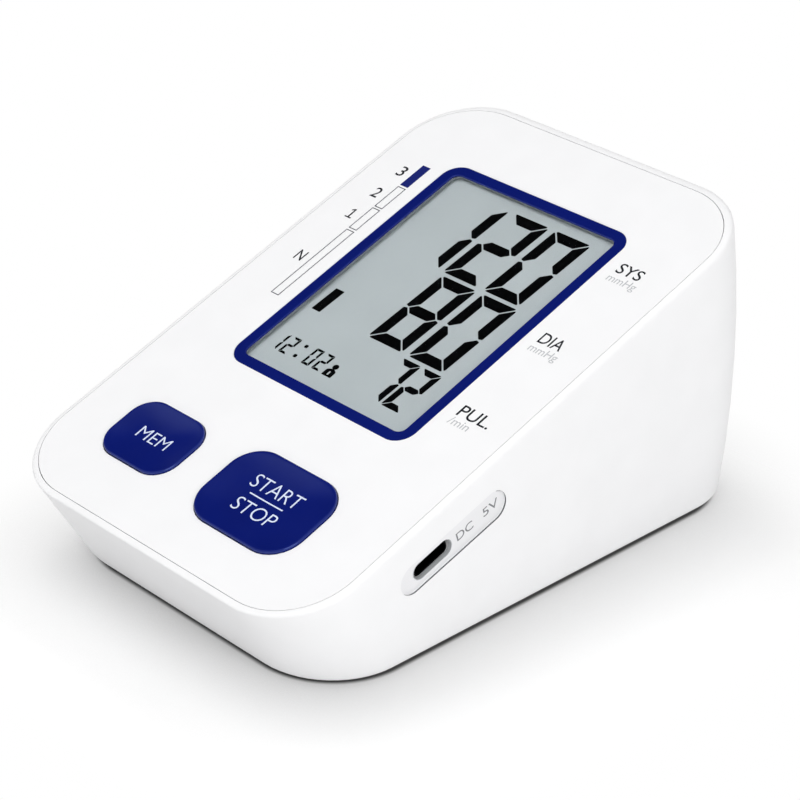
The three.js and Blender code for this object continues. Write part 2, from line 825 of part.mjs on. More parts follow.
function displayBezel() {
  const { width, length } = window_opening;
  return cut(
    plate(display_width, display_length, display_corner_radius, display_u, display_v,
      0, bezel_thickness),
    plate(width, length, bezel_inner_radius, display_u, display_v,
      -overshoot, bezel_thickness + overshoot));
}

// The window drops into the bezel's opening, a little below the panel's face
function displayWindow() {
  return plate(window_opening.width - 2 * slide_gap, window_opening.length - 2 * slide_gap,
    bezel_inner_radius - slide_gap, display_u, display_v,
    window_setback, window_setback + window_thickness);
}

function lcdGlass() {
  return plate(lcd_width, lcd_length, lcd_corner_radius, display_u, display_v,
    lcd_top, lcd_bottom);
}

const connector_v = lcd_front_v + connector_from_lcd_edge + connector_thickness / 2;

function lcdTray() {
  const outer = plate(lcd_width + 2 * lcd_tray_border, lcd_length + 2 * lcd_tray_border,
    lcd_tray_corner_radius, display_u, display_v, tray_top, tray_bottom);
  const pocket = plate(lcd_width + 2 * fit_gap, lcd_length + 2 * fit_gap,
    lcd_corner_radius + fit_gap, display_u, display_v, tray_top - overshoot, tray_floor_top);
  const connector_slot = plate(connector_width + 2 * fit_gap,
    connector_thickness + 2 * fit_gap, connector_corner_radius + fit_gap, display_u,
    connector_v, tray_top, tray_bottom + overshoot);
  return cut(outer, pocket, connector_slot);
}

function lcdConnector() {
  return plate(connector_width, connector_thickness, connector_corner_radius, display_u,
    connector_v, lcd_bottom + fit_gap, board_top - fit_gap);
}

// Buttons: a cap with a rounded edge and a shallow dish for the finger, a flange that
// holds it behind the panel, and a stem down to its switch

// A ring of the cap's outline, drawn in by an inset, some height over the panel's face
function capRing({ width, length, radius, u, v }, inset, height) {
  const half_width = width / 2 - inset;
  const half_length = length / 2 - (inset * length) / width;
  return outline(half_width, -half_length, half_length, Math.max(radius - inset, button_dish_middle))
    .map((p) => new THREE.Vector3(u + p.x, v + p.y, height));
}

// The cap's rings from its flange up: a straight side, a quarter-round edge, and a dish
// that sinks as a parabola
function capRings(button, bottom) {
  const edge_top = button_side_height + button_edge_rounding;
  const dish_inset = button.length / 2 - button_dish_middle - button_edge_rounding;
  const rings = [capRing(button, 0, bottom), capRing(button, 0, button_side_height)];
  for (let k = 1; k <= dish_steps; k++) {
    const angle = (0.5 * Math.PI * k) / dish_steps;
    rings.push(capRing(button, button_edge_rounding * (1 - Math.cos(angle)),
      button_side_height + button_edge_rounding * Math.sin(angle)));
  }
  for (let k = 1; k < dish_steps; k++) {
    const share = k / dish_steps;
    rings.push(capRing(button, button_edge_rounding + dish_inset * share,
      edge_top - button_dish_depth * share * (2 - share)));
  }
  return rings;
}

function buttonCap(button) {
  const { width, length, radius, u, v } = button;
  const flange_top = panel_thickness + fit_gap;
  const flange_bottom = flange_top + button_flange_thickness;
  const cap = loft(capRings(button, sink - flange_bottom).reverse());
  const flange = plate(width + 2 * button_flange_width, length + 2 * button_flange_width,
    radius + button_flange_width, u, v, flange_top, flange_bottom);
  const stem = bar('z', button_stem_radius, fit_gap - plunger_top, sink - flange_bottom,
    [u, v]);
  return join(cap, flange, stem);
}

function switchPlunger({ u, v }) {
  return bar('z', switch_plunger_radius, 2 * fit_gap + button_travel - board_top,
    -plunger_top, [u, v], small_round_sides);
}

function switchBody({ u, v }) {
  const half = switch_size / 2;
  const bottom = fit_gap - board_top;
  const block = box(u - half, u + half, v - half, v + half, bottom, -switch_top);
  const well = bar('z', switch_plunger_radius + slide_gap, bottom + fit_gap / 2,
    overshoot - switch_top, [u, v], small_round_sides);
  return cut(block, well);
}

// Circuit board and the parts on it

function circuitBoard() {
  const main = box(-board_half_width, board_half_width, board_front_v, board_back_v,
    -board_bottom, -board_top);
  const tab_half_length = socket_width / 2 + socket_tab_margin;
  const socket_tab = box(board_half_width - overshoot, board_tab_u,
    socket_v - tab_half_length, socket_v + tab_half_length, -board_bottom, -board_top);
  const post_cuts = screw_places.map(({ x, y }) => intoPanelFrame(bar('z',
    panel_post_radius + board_cutout_gap, boss_top, panelHeightAt(y), [x, y])));
  const corner_cuts = [-1, 1].map((side) => {
    const inner = side * (board_half_width - board_corner_cut);
    const outer = side * (board_half_width + overshoot);
    return box(Math.min(inner, outer), Math.max(inner, outer),
      board_front_v - overshoot, board_front_v + board_corner_cut,
      -board_bottom - overshoot, overshoot - board_top);
  });
  const screw_holes = board_posts.map(({ u, v }) => bar('z',
    board_screw_shank_radius + fit_gap, -board_bottom - overshoot, overshoot - board_top,
    [u, v], small_round_sides));
  return cut(join(main, socket_tab), ...post_cuts, ...corner_cuts, ...screw_holes);
}

function boardScrew({ u, v }) {
  const seat = -board_bottom - fit_gap;
  return join(
    bar('z', board_screw_head_radius, seat - board_screw_head_height, seat, [u, v]),
    bar('z', board_screw_shank_radius, seat - sink, seat + board_screw_length, [u, v],
      small_round_sides));
}

function controllerChip() {
  const half = controller_size / 2;
  const bottom = fit_gap - board_top;
  return box(-half, half, controller_v - half, controller_v + half,
    bottom, bottom + controller_height);
}

function buzzer() {
  const top = -board_bottom - fit_gap;
  const bottom = top - buzzer_height;
  const can = bar('z', buzzer_radius, bottom, top, [buzzer_u, buzzer_v]);
  const sound_hole = bar('z', buzzer_hole_radius, bottom - overshoot,
    bottom + buzzer_height / 2, [buzzer_u, buzzer_v], small_round_sides);
  return cut(can, sound_hole);
}

// The charging socket: a pressed metal shell with a tongue inside, open to the right
function chargingSocket() {
  const centre_z = -socket_depth_below_panel;
  const lying = (width, height, radius, from_u, to_u) => {
    const shape = roundedRectangle(width, height, radius);
    return new THREE.ExtrudeGeometry(shape, {
      depth: to_u - from_u,
      bevelEnabled: false,
      curveSegments: plate_corner_steps,
    })
      .applyMatrix4(new THREE.Matrix4().makeBasis(
        new THREE.Vector3(0, 1, 0), new THREE.Vector3(0, 0, 1), new THREE.Vector3(1, 0, 0)))
      .translate(from_u, socket_v, centre_z);
  };
  const cavity_back = socket_back_x + socket_back_wall;
  const can = lying(socket_width, socket_height, socket_corner_radius,
    socket_back_x, socket_mouth_x);
  const mouth = lying(socket_width - 2 * socket_sheet, socket_height - 2 * socket_sheet,
    socket_corner_radius - socket_sheet, cavity_back, socket_mouth_x + overshoot);
  const tongue = box(cavity_back - sink, cavity_back + socket_tongue_length,
    socket_v - socket_tongue_width / 2, socket_v + socket_tongue_width / 2,
    centre_z - socket_tongue_thickness / 2, centre_z + socket_tongue_thickness / 2);
  return join(cut(can, mouth), tongue);
}

function pressureSensor() {
  const half = sensor_size / 2;
  const top = -board_bottom - fit_gap;
  const body = box(sensor_u - half, sensor_u + half, sensor_v - half, sensor_v + half,
    top - sensor_height, top);
  const nozzle = bar('y', sensor_nozzle_radius, sensor_v + half - sink,
    sensor_v + half + sensor_nozzle_length, [sensor_u, top - sensor_height / 2],
    small_round_sides);
  return join(body, nozzle);
}

// Cells, contacts and leads

function cellX(index) {
  return (index - (cell_count - 1) / 2) * cell_pitch;
}

// Every other cell has its positive end to the back
function isNubAtBack(index) {
  return index % 2 === 0;
}

function cell(index) {
  const shoulder = cell_length - cell_nub_height;
  const profile = [
    [0, 0],
    [cell_radius - cell_edge, 0],
    [cell_radius, cell_edge],
    [cell_radius, shoulder - cell_edge],
    [cell_radius - cell_edge, shoulder],
    [cell_nub_radius, shoulder],
    [cell_nub_radius, cell_length],
    [0, cell_length],
  ].map(([r, y]) => new THREE.Vector2(r, y));
  const can = new THREE.LatheGeometry(profile, round_sides);
  if (!isNubAtBack(index)) can.rotateX(Math.PI).translate(0, cell_length, 0);
  return can.translate(cellX(index), bay_front_y + contact_depth, cell_axis_z);
}

// A contact plate at one end of the bay over one or two cells. A wide coil spring
// presses on each flat negative end and a raised dimple on each positive nub.
function contact(at_back, indexes) {
  const wall_side = at_back ? bay_back_y - fit_gap : bay_front_y + fit_gap;
  const inward = at_back ? -1 : 1;
  const plate_inner = wall_side + inward * contact_plate_thickness;
  const tip = plate_inner + inward * contact_reach;
  const x0 = cellX(indexes[0]) - contact_plate_width / 2;
  const x1 = cellX(indexes[indexes.length - 1]) + contact_plate_width / 2;
  const strip = box(x0, x1, Math.min(wall_side, plate_inner), Math.max(wall_side, plate_inner),
    cell_axis_z - contact_plate_height / 2, cell_axis_z + contact_plate_height / 2);
  const touches = indexes.map((index) => {
    const nub_here = isNubAtBack(index) === at_back;
    const foot = nub_here ? contact_bump_radius : contact_spring_radius;
    const top = nub_here ? contact_bump_tip_radius : contact_spring_tip_radius;
    const start = plate_inner - (inward * contact_plate_thickness) / 2;
    const cone = new THREE.CylinderGeometry(top, foot, Math.abs(tip - start), round_sides);
    if (at_back) cone.rotateX(Math.PI);
    return cone.translate(cellX(index), (start + tip) / 2, cell_axis_z);
  });
  return join(strip, ...touches);
}

// The end terminals have a tail that stands up through the bay's roof
function endTerminal(index) {
  const outer = bay_back_y - fit_gap;
  const tail = box(cellX(index) - lead_radius, cellX(index) + lead_radius,
    outer - contact_plate_thickness, outer, cell_axis_z, bay_roof + fit_gap);
  return join(contact(true, [index]), tail);
}

function boardUndersideAt(y) {
  return panelHeightAt(y) - board_bottom / slope_cosine;
}

function lead(index) {
  const y = bay_back_y - fit_gap - contact_plate_thickness / 2;
  return bar('z', lead_radius, bay_roof + 2 * fit_gap,
    boardUndersideAt(y - lead_radius) - fit_gap, [cellX(index), y], hose_sides);
}

// Battery door: a plate that closes the bay, with pins at its back edge and a finger
// tab at its front edge

function batteryDoor() {
  const sheet = box(-door_half_width, door_half_width, bay_front_y + fit_gap, hinge_y,
    foot_standoff, floor_top);
  const round_edge = bar('x', floor_thickness / 2, -door_half_width, door_half_width,
    [hinge_y, hinge_z]);
  const pin_reach = door_half_width + door_hinge_pin_length;
  const pins = bar('x', door_hinge_pin_radius, -pin_reach, pin_reach, [hinge_y, hinge_z],
    small_round_sides);
  const tab = box(-door_tab_width / 2, door_tab_width / 2,
    bay_front_y - door_tab_length, bay_front_y + overshoot, foot_standoff, floor_top);
  const grip = new THREE.SphereGeometry(door_grip_radius, 2 * round_sides, round_sides)
    .translate(0, bay_front_y, foot_standoff + door_grip_depth - door_grip_radius);
  return cut(join(sheet, round_edge, pins, tab), grip);
}

// Pump: motor can with rotor, crank, head, diaphragm and cap with its nozzle

const pump_axis = [pump_y, pump_z];

function motorCan() {
  const can = bar('x', motor_radius, motor_left_x, motor_right_x, pump_axis);
  const inside = bar('x', motor_radius - motor_wall, motor_left_x + motor_wall,
    motor_right_x - motor_wall, pump_axis);
  const bearing = bar('x', rotor_shaft_radius + fit_gap, motor_left_x - overshoot,
    motor_left_x + motor_wall + overshoot, pump_axis, small_round_sides);
  return cut(can, inside, bearing);
}

function pumpRotor() {
  const motor_middle = (motor_left_x + motor_right_x) / 2;
  const crank_left = (head_left_x + head_right_x - crank_thickness) / 2;
  const armature = bar('x', rotor_radius, motor_middle - rotor_length / 2,
    motor_middle + rotor_length / 2, pump_axis);
  const shaft = bar('x', rotor_shaft_radius, crank_left + sink,
    motor_right_x - motor_wall - fit_gap, pump_axis, small_round_sides);
  const crank = bar('x', crank_radius, crank_left, crank_left + crank_thickness, pump_axis);
  const pin = bar('x', rotor_shaft_radius, crank_left - crank_pin_length,
    crank_left + sink, [pump_y + crank_pin_offset, pump_z], small_round_sides);
  return join(armature, shaft, crank, pin);
}

function pumpHead() {
  const cup = bar('x', pump_radius, head_left_x, head_right_x, pump_axis);
  const chamber = bar('x', pump_radius - pump_head_wall, head_left_x - overshoot,
    head_right_x - pump_head_wall, pump_axis);
  const shaft_hole = bar('x', rotor_shaft_radius + fit_gap, head_left_x,
    head_right_x + overshoot, pump_axis, small_round_sides);
  return cut(cup, chamber, shaft_hole);
}

function pumpDiaphragm() {
  const disc = bar('x', diaphragm_radius, diaphragm_right_x - diaphragm_thickness,
    diaphragm_right_x, pump_axis);
  const cups = [];
  for (let k = 0; k < diaphragm_cup_count; k++) {
    const angle = (2 * Math.PI * k) / diaphragm_cup_count;
    const y = pump_y + diaphragm_cup_ring_radius * Math.cos(angle);
    const z = pump_z + diaphragm_cup_ring_radius * Math.sin(angle);
    cups.push(bar('x', diaphragm_cup_radius, diaphragm_right_x - sink,
      diaphragm_right_x + diaphragm_cup_length, [y, z], small_round_sides));
  }
  return join(disc, ...cups);
}

function pumpCap() {
  return join(
    bar('x', pump_radius, cap_left_x, cap_right_x, pump_axis),
    bar('x', nozzle_radius, cap_left_x - nozzle_length, cap_left_x + sink, pump_axis,
      small_round_sides));
}

// Exhaust valve: a coil block with a nozzle on its left and a plunger on its right

function valveBody() {
  const block = box(valve_left_x, valve_right_x, valve_y - valve_width / 2,
    valve_y + valve_width / 2, valve_z - valve_height / 2, valve_z + valve_height / 2);
  const nozzle = bar('x', barb_radius, valve_left_x - valve_nozzle_length,
    valve_left_x + sink, [valve_y, valve_z], small_round_sides);
  const bore = bar('x', valve_plunger_radius + slide_gap,
    valve_right_x + valve_plunger_proud - valve_plunger_length - valve_stroke - fit_gap,
    valve_right_x + overshoot, [valve_y, valve_z]);
  return cut(join(block, nozzle), bore);
}

function valvePlunger() {
  const right = valve_right_x + valve_plunger_proud;
  return bar('x', valve_plunger_radius, right - valve_plunger_length, right,
    [valve_y, valve_z]);
}

// Air manifold: a small block with three barbs, to the pump, the cuff socket and the
// pressure sensor

const manifold_reach = manifold_size / 2 + barb_length;

function airManifold() {
  const half = manifold_size / 2;
  const block = box(manifold_x - half, manifold_x + half, pump_y - half, pump_y + half,
    pump_z - half, pump_z + half);
  return join(block,
    bar('x', barb_radius, manifold_x, manifold_x + manifold_reach, pump_axis,
      small_round_sides),
    bar('y', barb_radius, pump_y - manifold_reach, pump_y, [manifold_x, pump_z],
      small_round_sides),
    bar('z', barb_radius, pump_z, pump_z + manifold_reach, [manifold_x, pump_y],
      small_round_sides));
}

// Cuff socket: a flanged bore in the left wall, with a barb back to the manifold and
// one up to the exhaust valve

function cuffSocket() {
  const place = [cuff_socket_y, cuff_socket_z];
  const bore_end = cuff_face_x + cuff_bore_length;
  const flange = bar('x', cuff_flange_radius, cuff_face_x,
    cuff_face_x + cuff_flange_thickness, place);
  const barrel = bar('x', cuff_tube_radius, cuff_face_x, bore_end + cuff_back_wall, place);
  const back_barb = bar('y', barb_radius, cuff_socket_y, cuff_socket_y + cuff_reach,
    [cuff_barb_x, cuff_socket_z], small_round_sides);
  const top_barb = bar('z', barb_radius, cuff_socket_z, cuff_socket_z + cuff_reach,
    [cuff_barb_x, cuff_socket_y], small_round_sides);
  const bore = bar('x', cuff_bore_radius, cuff_face_x - overshoot, bore_end, place);
  return cut(join(flange, barrel, back_barb, top_barb), bore);
}

// Hoses, each a short silicone tube from one nozzle's end to the next

function pumpHose() {
  const from = new THREE.Vector3(manifold_x + manifold_reach + fit_gap, pump_y, pump_z);
  const to = new THREE.Vector3(cap_left_x - nozzle_length - fit_gap, pump_y, pump_z);
  return tube(new THREE.LineCurve3(from, to), hose_radius, 1);
}

function bezierHose(start, start_pull, end_pull, end) {
  return tube(new THREE.CubicBezierCurve3(start, start_pull, end_pull, end),
    hose_radius, hose_steps);
}

function cuffHose() {
  const start = new THREE.Vector3(cuff_barb_x, cuff_socket_y + cuff_reach + fit_gap,
    cuff_socket_z);
  const end = new THREE.Vector3(manifold_x, pump_y - manifold_reach - fit_gap, pump_z);
  const pull = (end.y - start.y) / 2;
  return bezierHose(start, start.clone().setY(start.y + pull),
    end.clone().setY(end.y - pull), end);
}

function valveHose() {
  const start = new THREE.Vector3(cuff_barb_x, cuff_socket_y,
    cuff_socket_z + cuff_reach + fit_gap);
  const end = new THREE.Vector3(valve_left_x - valve_nozzle_length - fit_gap,
    valve_y, valve_z);
  const bend = Math.min(hose_bend, valve_z - start.z);
  const path = new THREE.CurvePath();
  const corner = new THREE.Vector3(start.x, start.y, end.z);
  path.add(new THREE.QuadraticBezierCurve3(start, corner,
    corner.clone().setX(corner.x + bend)));
  path.add(new THREE.LineCurve3(corner.clone().setX(corner.x + bend), end));
  return tube(path, hose_radius, hose_steps);
}

function sensorHose() {
  const start = new THREE.Vector3(manifold_x, pump_y, pump_z + manifold_reach + fit_gap);
  const depth = board_bottom + fit_gap + sensor_height / 2;
  const nozzle_v = sensor_v + sensor_size / 2 + sensor_nozzle_length + fit_gap;
  const end = onPanel(sensor_u, nozzle_v, depth);
  const end_pull = onPanel(sensor_u, nozzle_v + 2 * hose_bend, depth);
  return bezierHose(start, start.clone().setZ(start.z + 2 * hose_bend), end_pull, end);
}

// Feet and case screws

function rubberFoot({ x, y }) {
  return bar('z', foot_radius, 0, foot_standoff + foot_seat_depth - fit_gap, [x, y]);
}

function caseScrew({ x, y }) {
  const seat = screw_seat_z - fit_gap;
  const head = bar('z', screw_head_radius, seat - screw_head_height, seat, [x, y]);
  const shank = bar('z', screw_shank_radius, seat - sink, seat + screw_length, [x, y],
    small_round_sides);
  return join(head, shank);
}

// Materials

function finish(color, roughness, metalness = 0) {
  return new THREE.MeshStandardMaterial({ color, roughness, metalness });
}

const white_plastic = finish('#f4f4f5', 0.3);
const blue_plastic = finish('#141f6d', 0.35);
const clear_plastic = finish('#dfe6ea', 0.05);
const lcd_grey = finish('#b3bbbb', 0.4);
const grey_plastic = finish('#c9cbcc', 0.5);
const dark_plastic = finish('#25282c', 0.5);
const black_rubber = finish('#2b2c2e', 0.85);
const silicone = finish('#d9dad6', 0.6);
const board_green = finish('#1f5b3a', 0.45);
const plated_metal = finish('#c4c6c8', 0.3, 1);
const brushed_metal = finish('#9a9da1', 0.35, 1);
const cell_wrap = finish('#5f6b78', 0.35, 0.4);
const red_wire = finish('#a8241f', 0.5);
const black_wire = finish('#202124', 0.5);

// Assembly

const monitor = new THREE.Group();
const case_frame = new THREE.Group();
const panel_frame = new THREE.Group();
panel_frame.rotation.x = panel_slope;
panel_frame.position.z = panel_front_height;
case_frame.add(panel_frame);
monitor.add(case_frame);

function place(frame, name, geometry, material) {
  const mesh = new THREE.Mesh(geometry, material);
  mesh.name = name;
  frame.add(mesh);
  return mesh;
}

const shell = place(case_frame, 'body_shell', bodyShell(), white_plastic);
place(panel_frame, 'front_panel', frontPanel(), white_plastic);
place(panel_frame, 'display_bezel', displayBezel(), blue_plastic);
place(panel_frame, 'display_window', displayWindow(), clear_plastic);
place(panel_frame, 'lcd_glass', lcdGlass(), lcd_grey);
place(panel_frame, 'lcd_tray', lcdTray(), grey_plastic);
place(panel_frame, 'lcd_connector', lcdConnector(), black_rubber);

for (const [name, button] of [['start_stop', start_button], ['memory', memory_button]]) {
  place(panel_frame, `${name}_button`, buttonCap(button), blue_plastic);
  place(panel_frame, `${name}_switch_plunger`, switchPlunger(button), dark_plastic);
  place(panel_frame, `${name}_switch`, switchBody(button), plated_metal);
}

place(panel_frame, 'main_circuit_board', circuitBoard(), board_green);
place(panel_frame, 'microcontroller', controllerChip(), dark_plastic);
place(panel_frame, 'buzzer', buzzer(), dark_plastic);
place(panel_frame, 'charging_socket', chargingSocket(), plated_metal);
place(panel_frame, 'pressure_sensor', pressureSensor(), grey_plastic);
for (const post of board_posts) {
  place(panel_frame, `board_screw_${post.name}`, boardScrew(post), plated_metal);
}

place(case_frame, 'battery_door', batteryDoor(), white_plastic);
for (let index = 0; index < cell_count; index++) {
  place(case_frame, `battery_cell_${index + 1}`, cell(index), cell_wrap);
}
const last_cell = cell_count - 1;
place(case_frame, 'battery_contact_front_left', contact(false, [0, 1]), plated_metal);
place(case_frame, 'battery_contact_front_right',
  contact(false, [last_cell - 1, last_cell]), plated_metal);
place(case_frame, 'battery_contact_rear_middle', contact(true, [1, 2]), plated_metal);
place(case_frame, 'battery_terminal_positive', endTerminal(0), plated_metal);
place(case_frame, 'battery_terminal_negative', endTerminal(last_cell), plated_metal);
place(case_frame, 'battery_lead_positive', lead(0), red_wire);
place(case_frame, 'battery_lead_negative', lead(last_cell), black_wire);

place(case_frame, 'pump_motor_can', motorCan(), brushed_metal);
place(case_frame, 'pump_rotor', pumpRotor(), brushed_metal);
place(case_frame, 'pump_head', pumpHead(), dark_plastic);
place(case_frame, 'pump_diaphragm', pumpDiaphragm(), black_rubber);
place(case_frame, 'pump_cap', pumpCap(), grey_plastic);
place(case_frame, 'exhaust_valve', valveBody(), dark_plastic);
place(case_frame, 'exhaust_valve_plunger', valvePlunger(), plated_metal);
place(case_frame, 'air_manifold', airManifold(), grey_plastic);
place(case_frame, 'cuff_air_socket', cuffSocket(), dark_plastic);
place(case_frame, 'hose_pump', pumpHose(), silicone);
place(case_frame, 'hose_cuff', cuffHose(), silicone);
place(case_frame, 'hose_valve', valveHose(), silicone);
place(case_frame, 'hose_sensor', sensorHose(), silicone);

for (const foot of foot_places) {
  place(case_frame, `rubber_foot_${foot.name}`, rubberFoot(foot), black_rubber);
}
for (const screw of screw_places) {
  place(case_frame, `case_screw_${screw.name}`, caseScrew(screw), plated_metal);
}

// The origin is on the table under the middle of the case's bounding box
shell.geometry.computeBoundingBox();
const { min, max } = shell.geometry.boundingBox;
case_frame.position.y = -(min.y + max.y) / 2;

export default monitor;
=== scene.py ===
# %% [markdown]
# # A blood pressure monitor in Blender
#
# The monitor is a white wedge of moulded plastic with a sloped panel, a framed liquid
# crystal display and two blue buttons. Its solids come from a CAD model that is already
# in place, so this lesson adds what the eye reads: finishes, print, display segments and
# light. We start by loading those solids.

# %% Load the fixed frame
import math
import bpy
import bmesh
import numpy as np
from mathutils import Matrix, Vector


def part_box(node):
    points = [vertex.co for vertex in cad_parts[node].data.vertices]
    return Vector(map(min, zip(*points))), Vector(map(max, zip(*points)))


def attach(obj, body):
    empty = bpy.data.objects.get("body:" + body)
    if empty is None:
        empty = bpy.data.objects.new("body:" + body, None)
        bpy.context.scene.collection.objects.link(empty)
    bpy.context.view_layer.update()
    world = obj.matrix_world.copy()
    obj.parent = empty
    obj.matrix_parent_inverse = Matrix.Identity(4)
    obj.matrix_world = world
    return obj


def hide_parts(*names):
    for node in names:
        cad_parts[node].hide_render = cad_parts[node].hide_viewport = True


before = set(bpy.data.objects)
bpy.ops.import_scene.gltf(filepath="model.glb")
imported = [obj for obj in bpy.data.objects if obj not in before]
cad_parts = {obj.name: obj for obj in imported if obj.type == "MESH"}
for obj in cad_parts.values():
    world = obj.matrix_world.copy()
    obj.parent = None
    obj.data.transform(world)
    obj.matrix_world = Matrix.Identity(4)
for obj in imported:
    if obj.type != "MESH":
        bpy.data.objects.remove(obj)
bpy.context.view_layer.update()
scene = bpy.context.scene

# %% [markdown]
# ## Millimetres and the panel's own frame
#
# Most places on the monitor are measured along its sloped panel: u to the right, v up
# the slope from the front edge, and a height standing out of the panel. One function
# takes whole arrays of such places to metres in the scene, so a surface or a print can
# be worked out flat and then laid on the slope. Another goes the other way and reads
# where a solid lies, so that the numbers of the CAD model aren't typed a second time.

# %% Panel coordinates
MM = 0.001
PANEL_SLOPE = math.radians(20.2)
PANEL_FRONT = np.array([0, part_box("front_panel")[0].y / MM, 20.8])
PANEL_AXES = np.array([
    [1, 0, 0],
    [0, math.cos(PANEL_SLOPE), math.sin(PANEL_SLOPE)],
    [0, -math.sin(PANEL_SLOPE), math.cos(PANEL_SLOPE)],
])


def on_panel(points):
    """Rows of (u, v, height) in millimetres to metres in the scene: the middle of the
    panel's front edge, plus u along the width, v along the slope and the height along
    the outward normal."""
    return (points @ PANEL_AXES + PANEL_FRONT) * MM


def panel_reach(node_name):
    """The lowest and highest u, v and height of a solid: its points, less the front
    edge's middle, measured along the panel's three axes."""
    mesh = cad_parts[node_name].data
    points = np.empty(3 * len(mesh.vertices))
    mesh.vertices.foreach_get("co", points)
    along = (points.reshape(-1, 3) / MM - PANEL_FRONT) @ PANEL_AXES.T
    return along.min(axis=0), along.max(axis=0)


frame_low, frame_high = panel_reach("display_bezel")
print("display frame:", frame_low.round(2), "to", frame_high.round(2))

# %% [markdown]
# ## The camera
#
# The camera stands to the right and in front, about 28 degrees above the table, with a
# long lens, as product photographs are taken. Its axes are built from those angles and
# a small roll, and they are the columns of its matrix. The lamps are placed later by
# angles too, so the direction is a function.

# %% Directions


def direction(azimuth, elevation):
    """The unit vector at two angles in radians: sideways the sine of the azimuth,
    forwards its cosine, both times the cosine of the elevation, and up its sine."""
    return Vector((math.sin(azimuth) * math.cos(elevation),
                   -math.cos(azimuth) * math.cos(elevation), math.sin(elevation)))


# %% Camera
CAMERA_AZIMUTH = 0.7909772
CAMERA_ELEVATION = 0.4916623
CAMERA_ROLL = 0.0249043
CAMERA_PLACE = (0.3338, -0.32867, 0.27891)
CAMERA_LENS = 118.72
SENSOR_WIDTH = 36
NEAREST_SEEN = 0.01

camera_data = bpy.data.cameras.new("camera")
camera_data.lens = CAMERA_LENS
camera_data.sensor_width = SENSOR_WIDTH
camera_data.clip_start = NEAREST_SEEN
camera = bpy.data.objects.new("camera", camera_data)
scene.collection.objects.link(camera)
scene.camera = camera
backward = direction(CAMERA_AZIMUTH, CAMERA_ELEVATION)
level_right = Vector((math.cos(CAMERA_AZIMUTH), math.sin(CAMERA_AZIMUTH), 0))
level_up = backward.cross(level_right)
right = math.cos(CAMERA_ROLL) * level_right + math.sin(CAMERA_ROLL) * level_up
up = math.cos(CAMERA_ROLL) * level_up - math.sin(CAMERA_ROLL) * level_right
camera.matrix_world = Matrix.Translation(CAMERA_PLACE) @ Matrix(
    (right, up, backward)).transposed().to_4x4()
print("camera stands", round(Vector(CAMERA_PLACE).length, 3), "m from the origin")

# %% [markdown]
# ## Node materials
#
# A material here is a Principled shader with a few pattern nodes before it. One helper
# adds a node, sets its values and makes its links, so that each finish below reads as a
# list. Two more clear a new node tree and draw a list of links. Colours are the sRGB
# hex values that a colour picker shows, and Blender shades in linear light, so one
# function turns them.

# %% Material helpers
TINT_STARTS, TINT_ENDS = 0.3, 0.7


def linear(hex_colour):
    """Each sRGB channel c becomes c / 12.92 below 0.04045, else ((c + 0.055) / 1.055)
    to the power 2.4."""
    channels = [int(hex_colour[i:i + 2], 16) / 255 for i in (1, 3, 5)]
    turned = [c / 12.92 if c <= 0.04045 else ((c + 0.055) / 1.055) ** 2.4 for c in channels]
    return (*turned, 1.0)


def add_node(owner, kind, settings=None, inputs=None):
    """A node of that kind in a material or world: settings are its properties, and each
    input is a plain value or an output socket to link from."""
    node = owner.node_tree.nodes.new(kind)
    for name, value in (settings or {}).items():
        setattr(node, name, value)
    for name, value in (inputs or {}).items():
        if isinstance(value, bpy.types.NodeSocket):
            owner.node_tree.links.new(value, node.inputs[name])
        else:
            node.inputs[name].default_value = value
    return node


def with_empty_tree(owner):
    """The material or world, with its nodes in use and none left in the tree."""
    owner.use_nodes = True
    owner.node_tree.nodes.clear()
    return owner


def link_all(node_tree, pairs):
    """A link in the tree from the first to the second socket of each pair."""
    for source, target in pairs:
        node_tree.links.new(source, target)


def shaded(name, principled_inputs):
    """A material whose Principled shader has these inputs, already linked to its
    output. The inputs are made by a function, because their nodes need the material."""
    material = with_empty_tree(bpy.data.materials.new(name))
    shader = add_node(material, "ShaderNodeBsdfPrincipled",
                      inputs=principled_inputs(material))
    add_node(material, "ShaderNodeOutputMaterial", inputs={
        "Surface": shader.outputs["BSDF"]})
    return material


def grain(material, size_mm, stretch=(1, 1, 1), detail=2.0):
    """Noise on the piece's own coordinates whose lumps are about size_mm across, drawn
    out along an axis by its stretch. It gives a socket that runs from 0 to 1."""
    place = add_node(material, "ShaderNodeTexCoord").outputs["Object"]
    sized = add_node(material, "ShaderNodeMapping", inputs={
        "Vector": place, "Scale": [1 / (size_mm * MM * s) for s in stretch]})
    return add_node(material, "ShaderNodeTexNoise", inputs={
        "Vector": sized.outputs["Vector"], "Scale": 1.0, "Detail": detail}).outputs["Fac"]


def between(material, amount, low, high):
    """The 0 to 1 of a pattern, spread evenly from low to high."""
    return add_node(material, "ShaderNodeMapRange", inputs={
        "Value": amount, "To Min": low, "To Max": high}).outputs["Result"]


def tinted(material, amount, low_colour, high_colour):
    """A colour that runs from the low to the high one over the pattern's middle, where
    noise spends most of its area."""
    ramp = add_node(material, "ShaderNodeValToRGB", inputs={"Fac": amount})
    for stop, position, colour in zip(ramp.color_ramp.elements, (TINT_STARTS, TINT_ENDS),
                                      (low_colour, high_colour)):
        stop.position = position
        stop.color = linear(colour)
    return ramp.outputs["Color"]


def raised(material, height, distance_mm):
    """A bump normal from a 0 to 1 height, at this many millimetres from 0 to 1."""
    return add_node(material, "ShaderNodeBump", inputs={
        "Height": height, "Distance": distance_mm * MM}).outputs["Normal"]


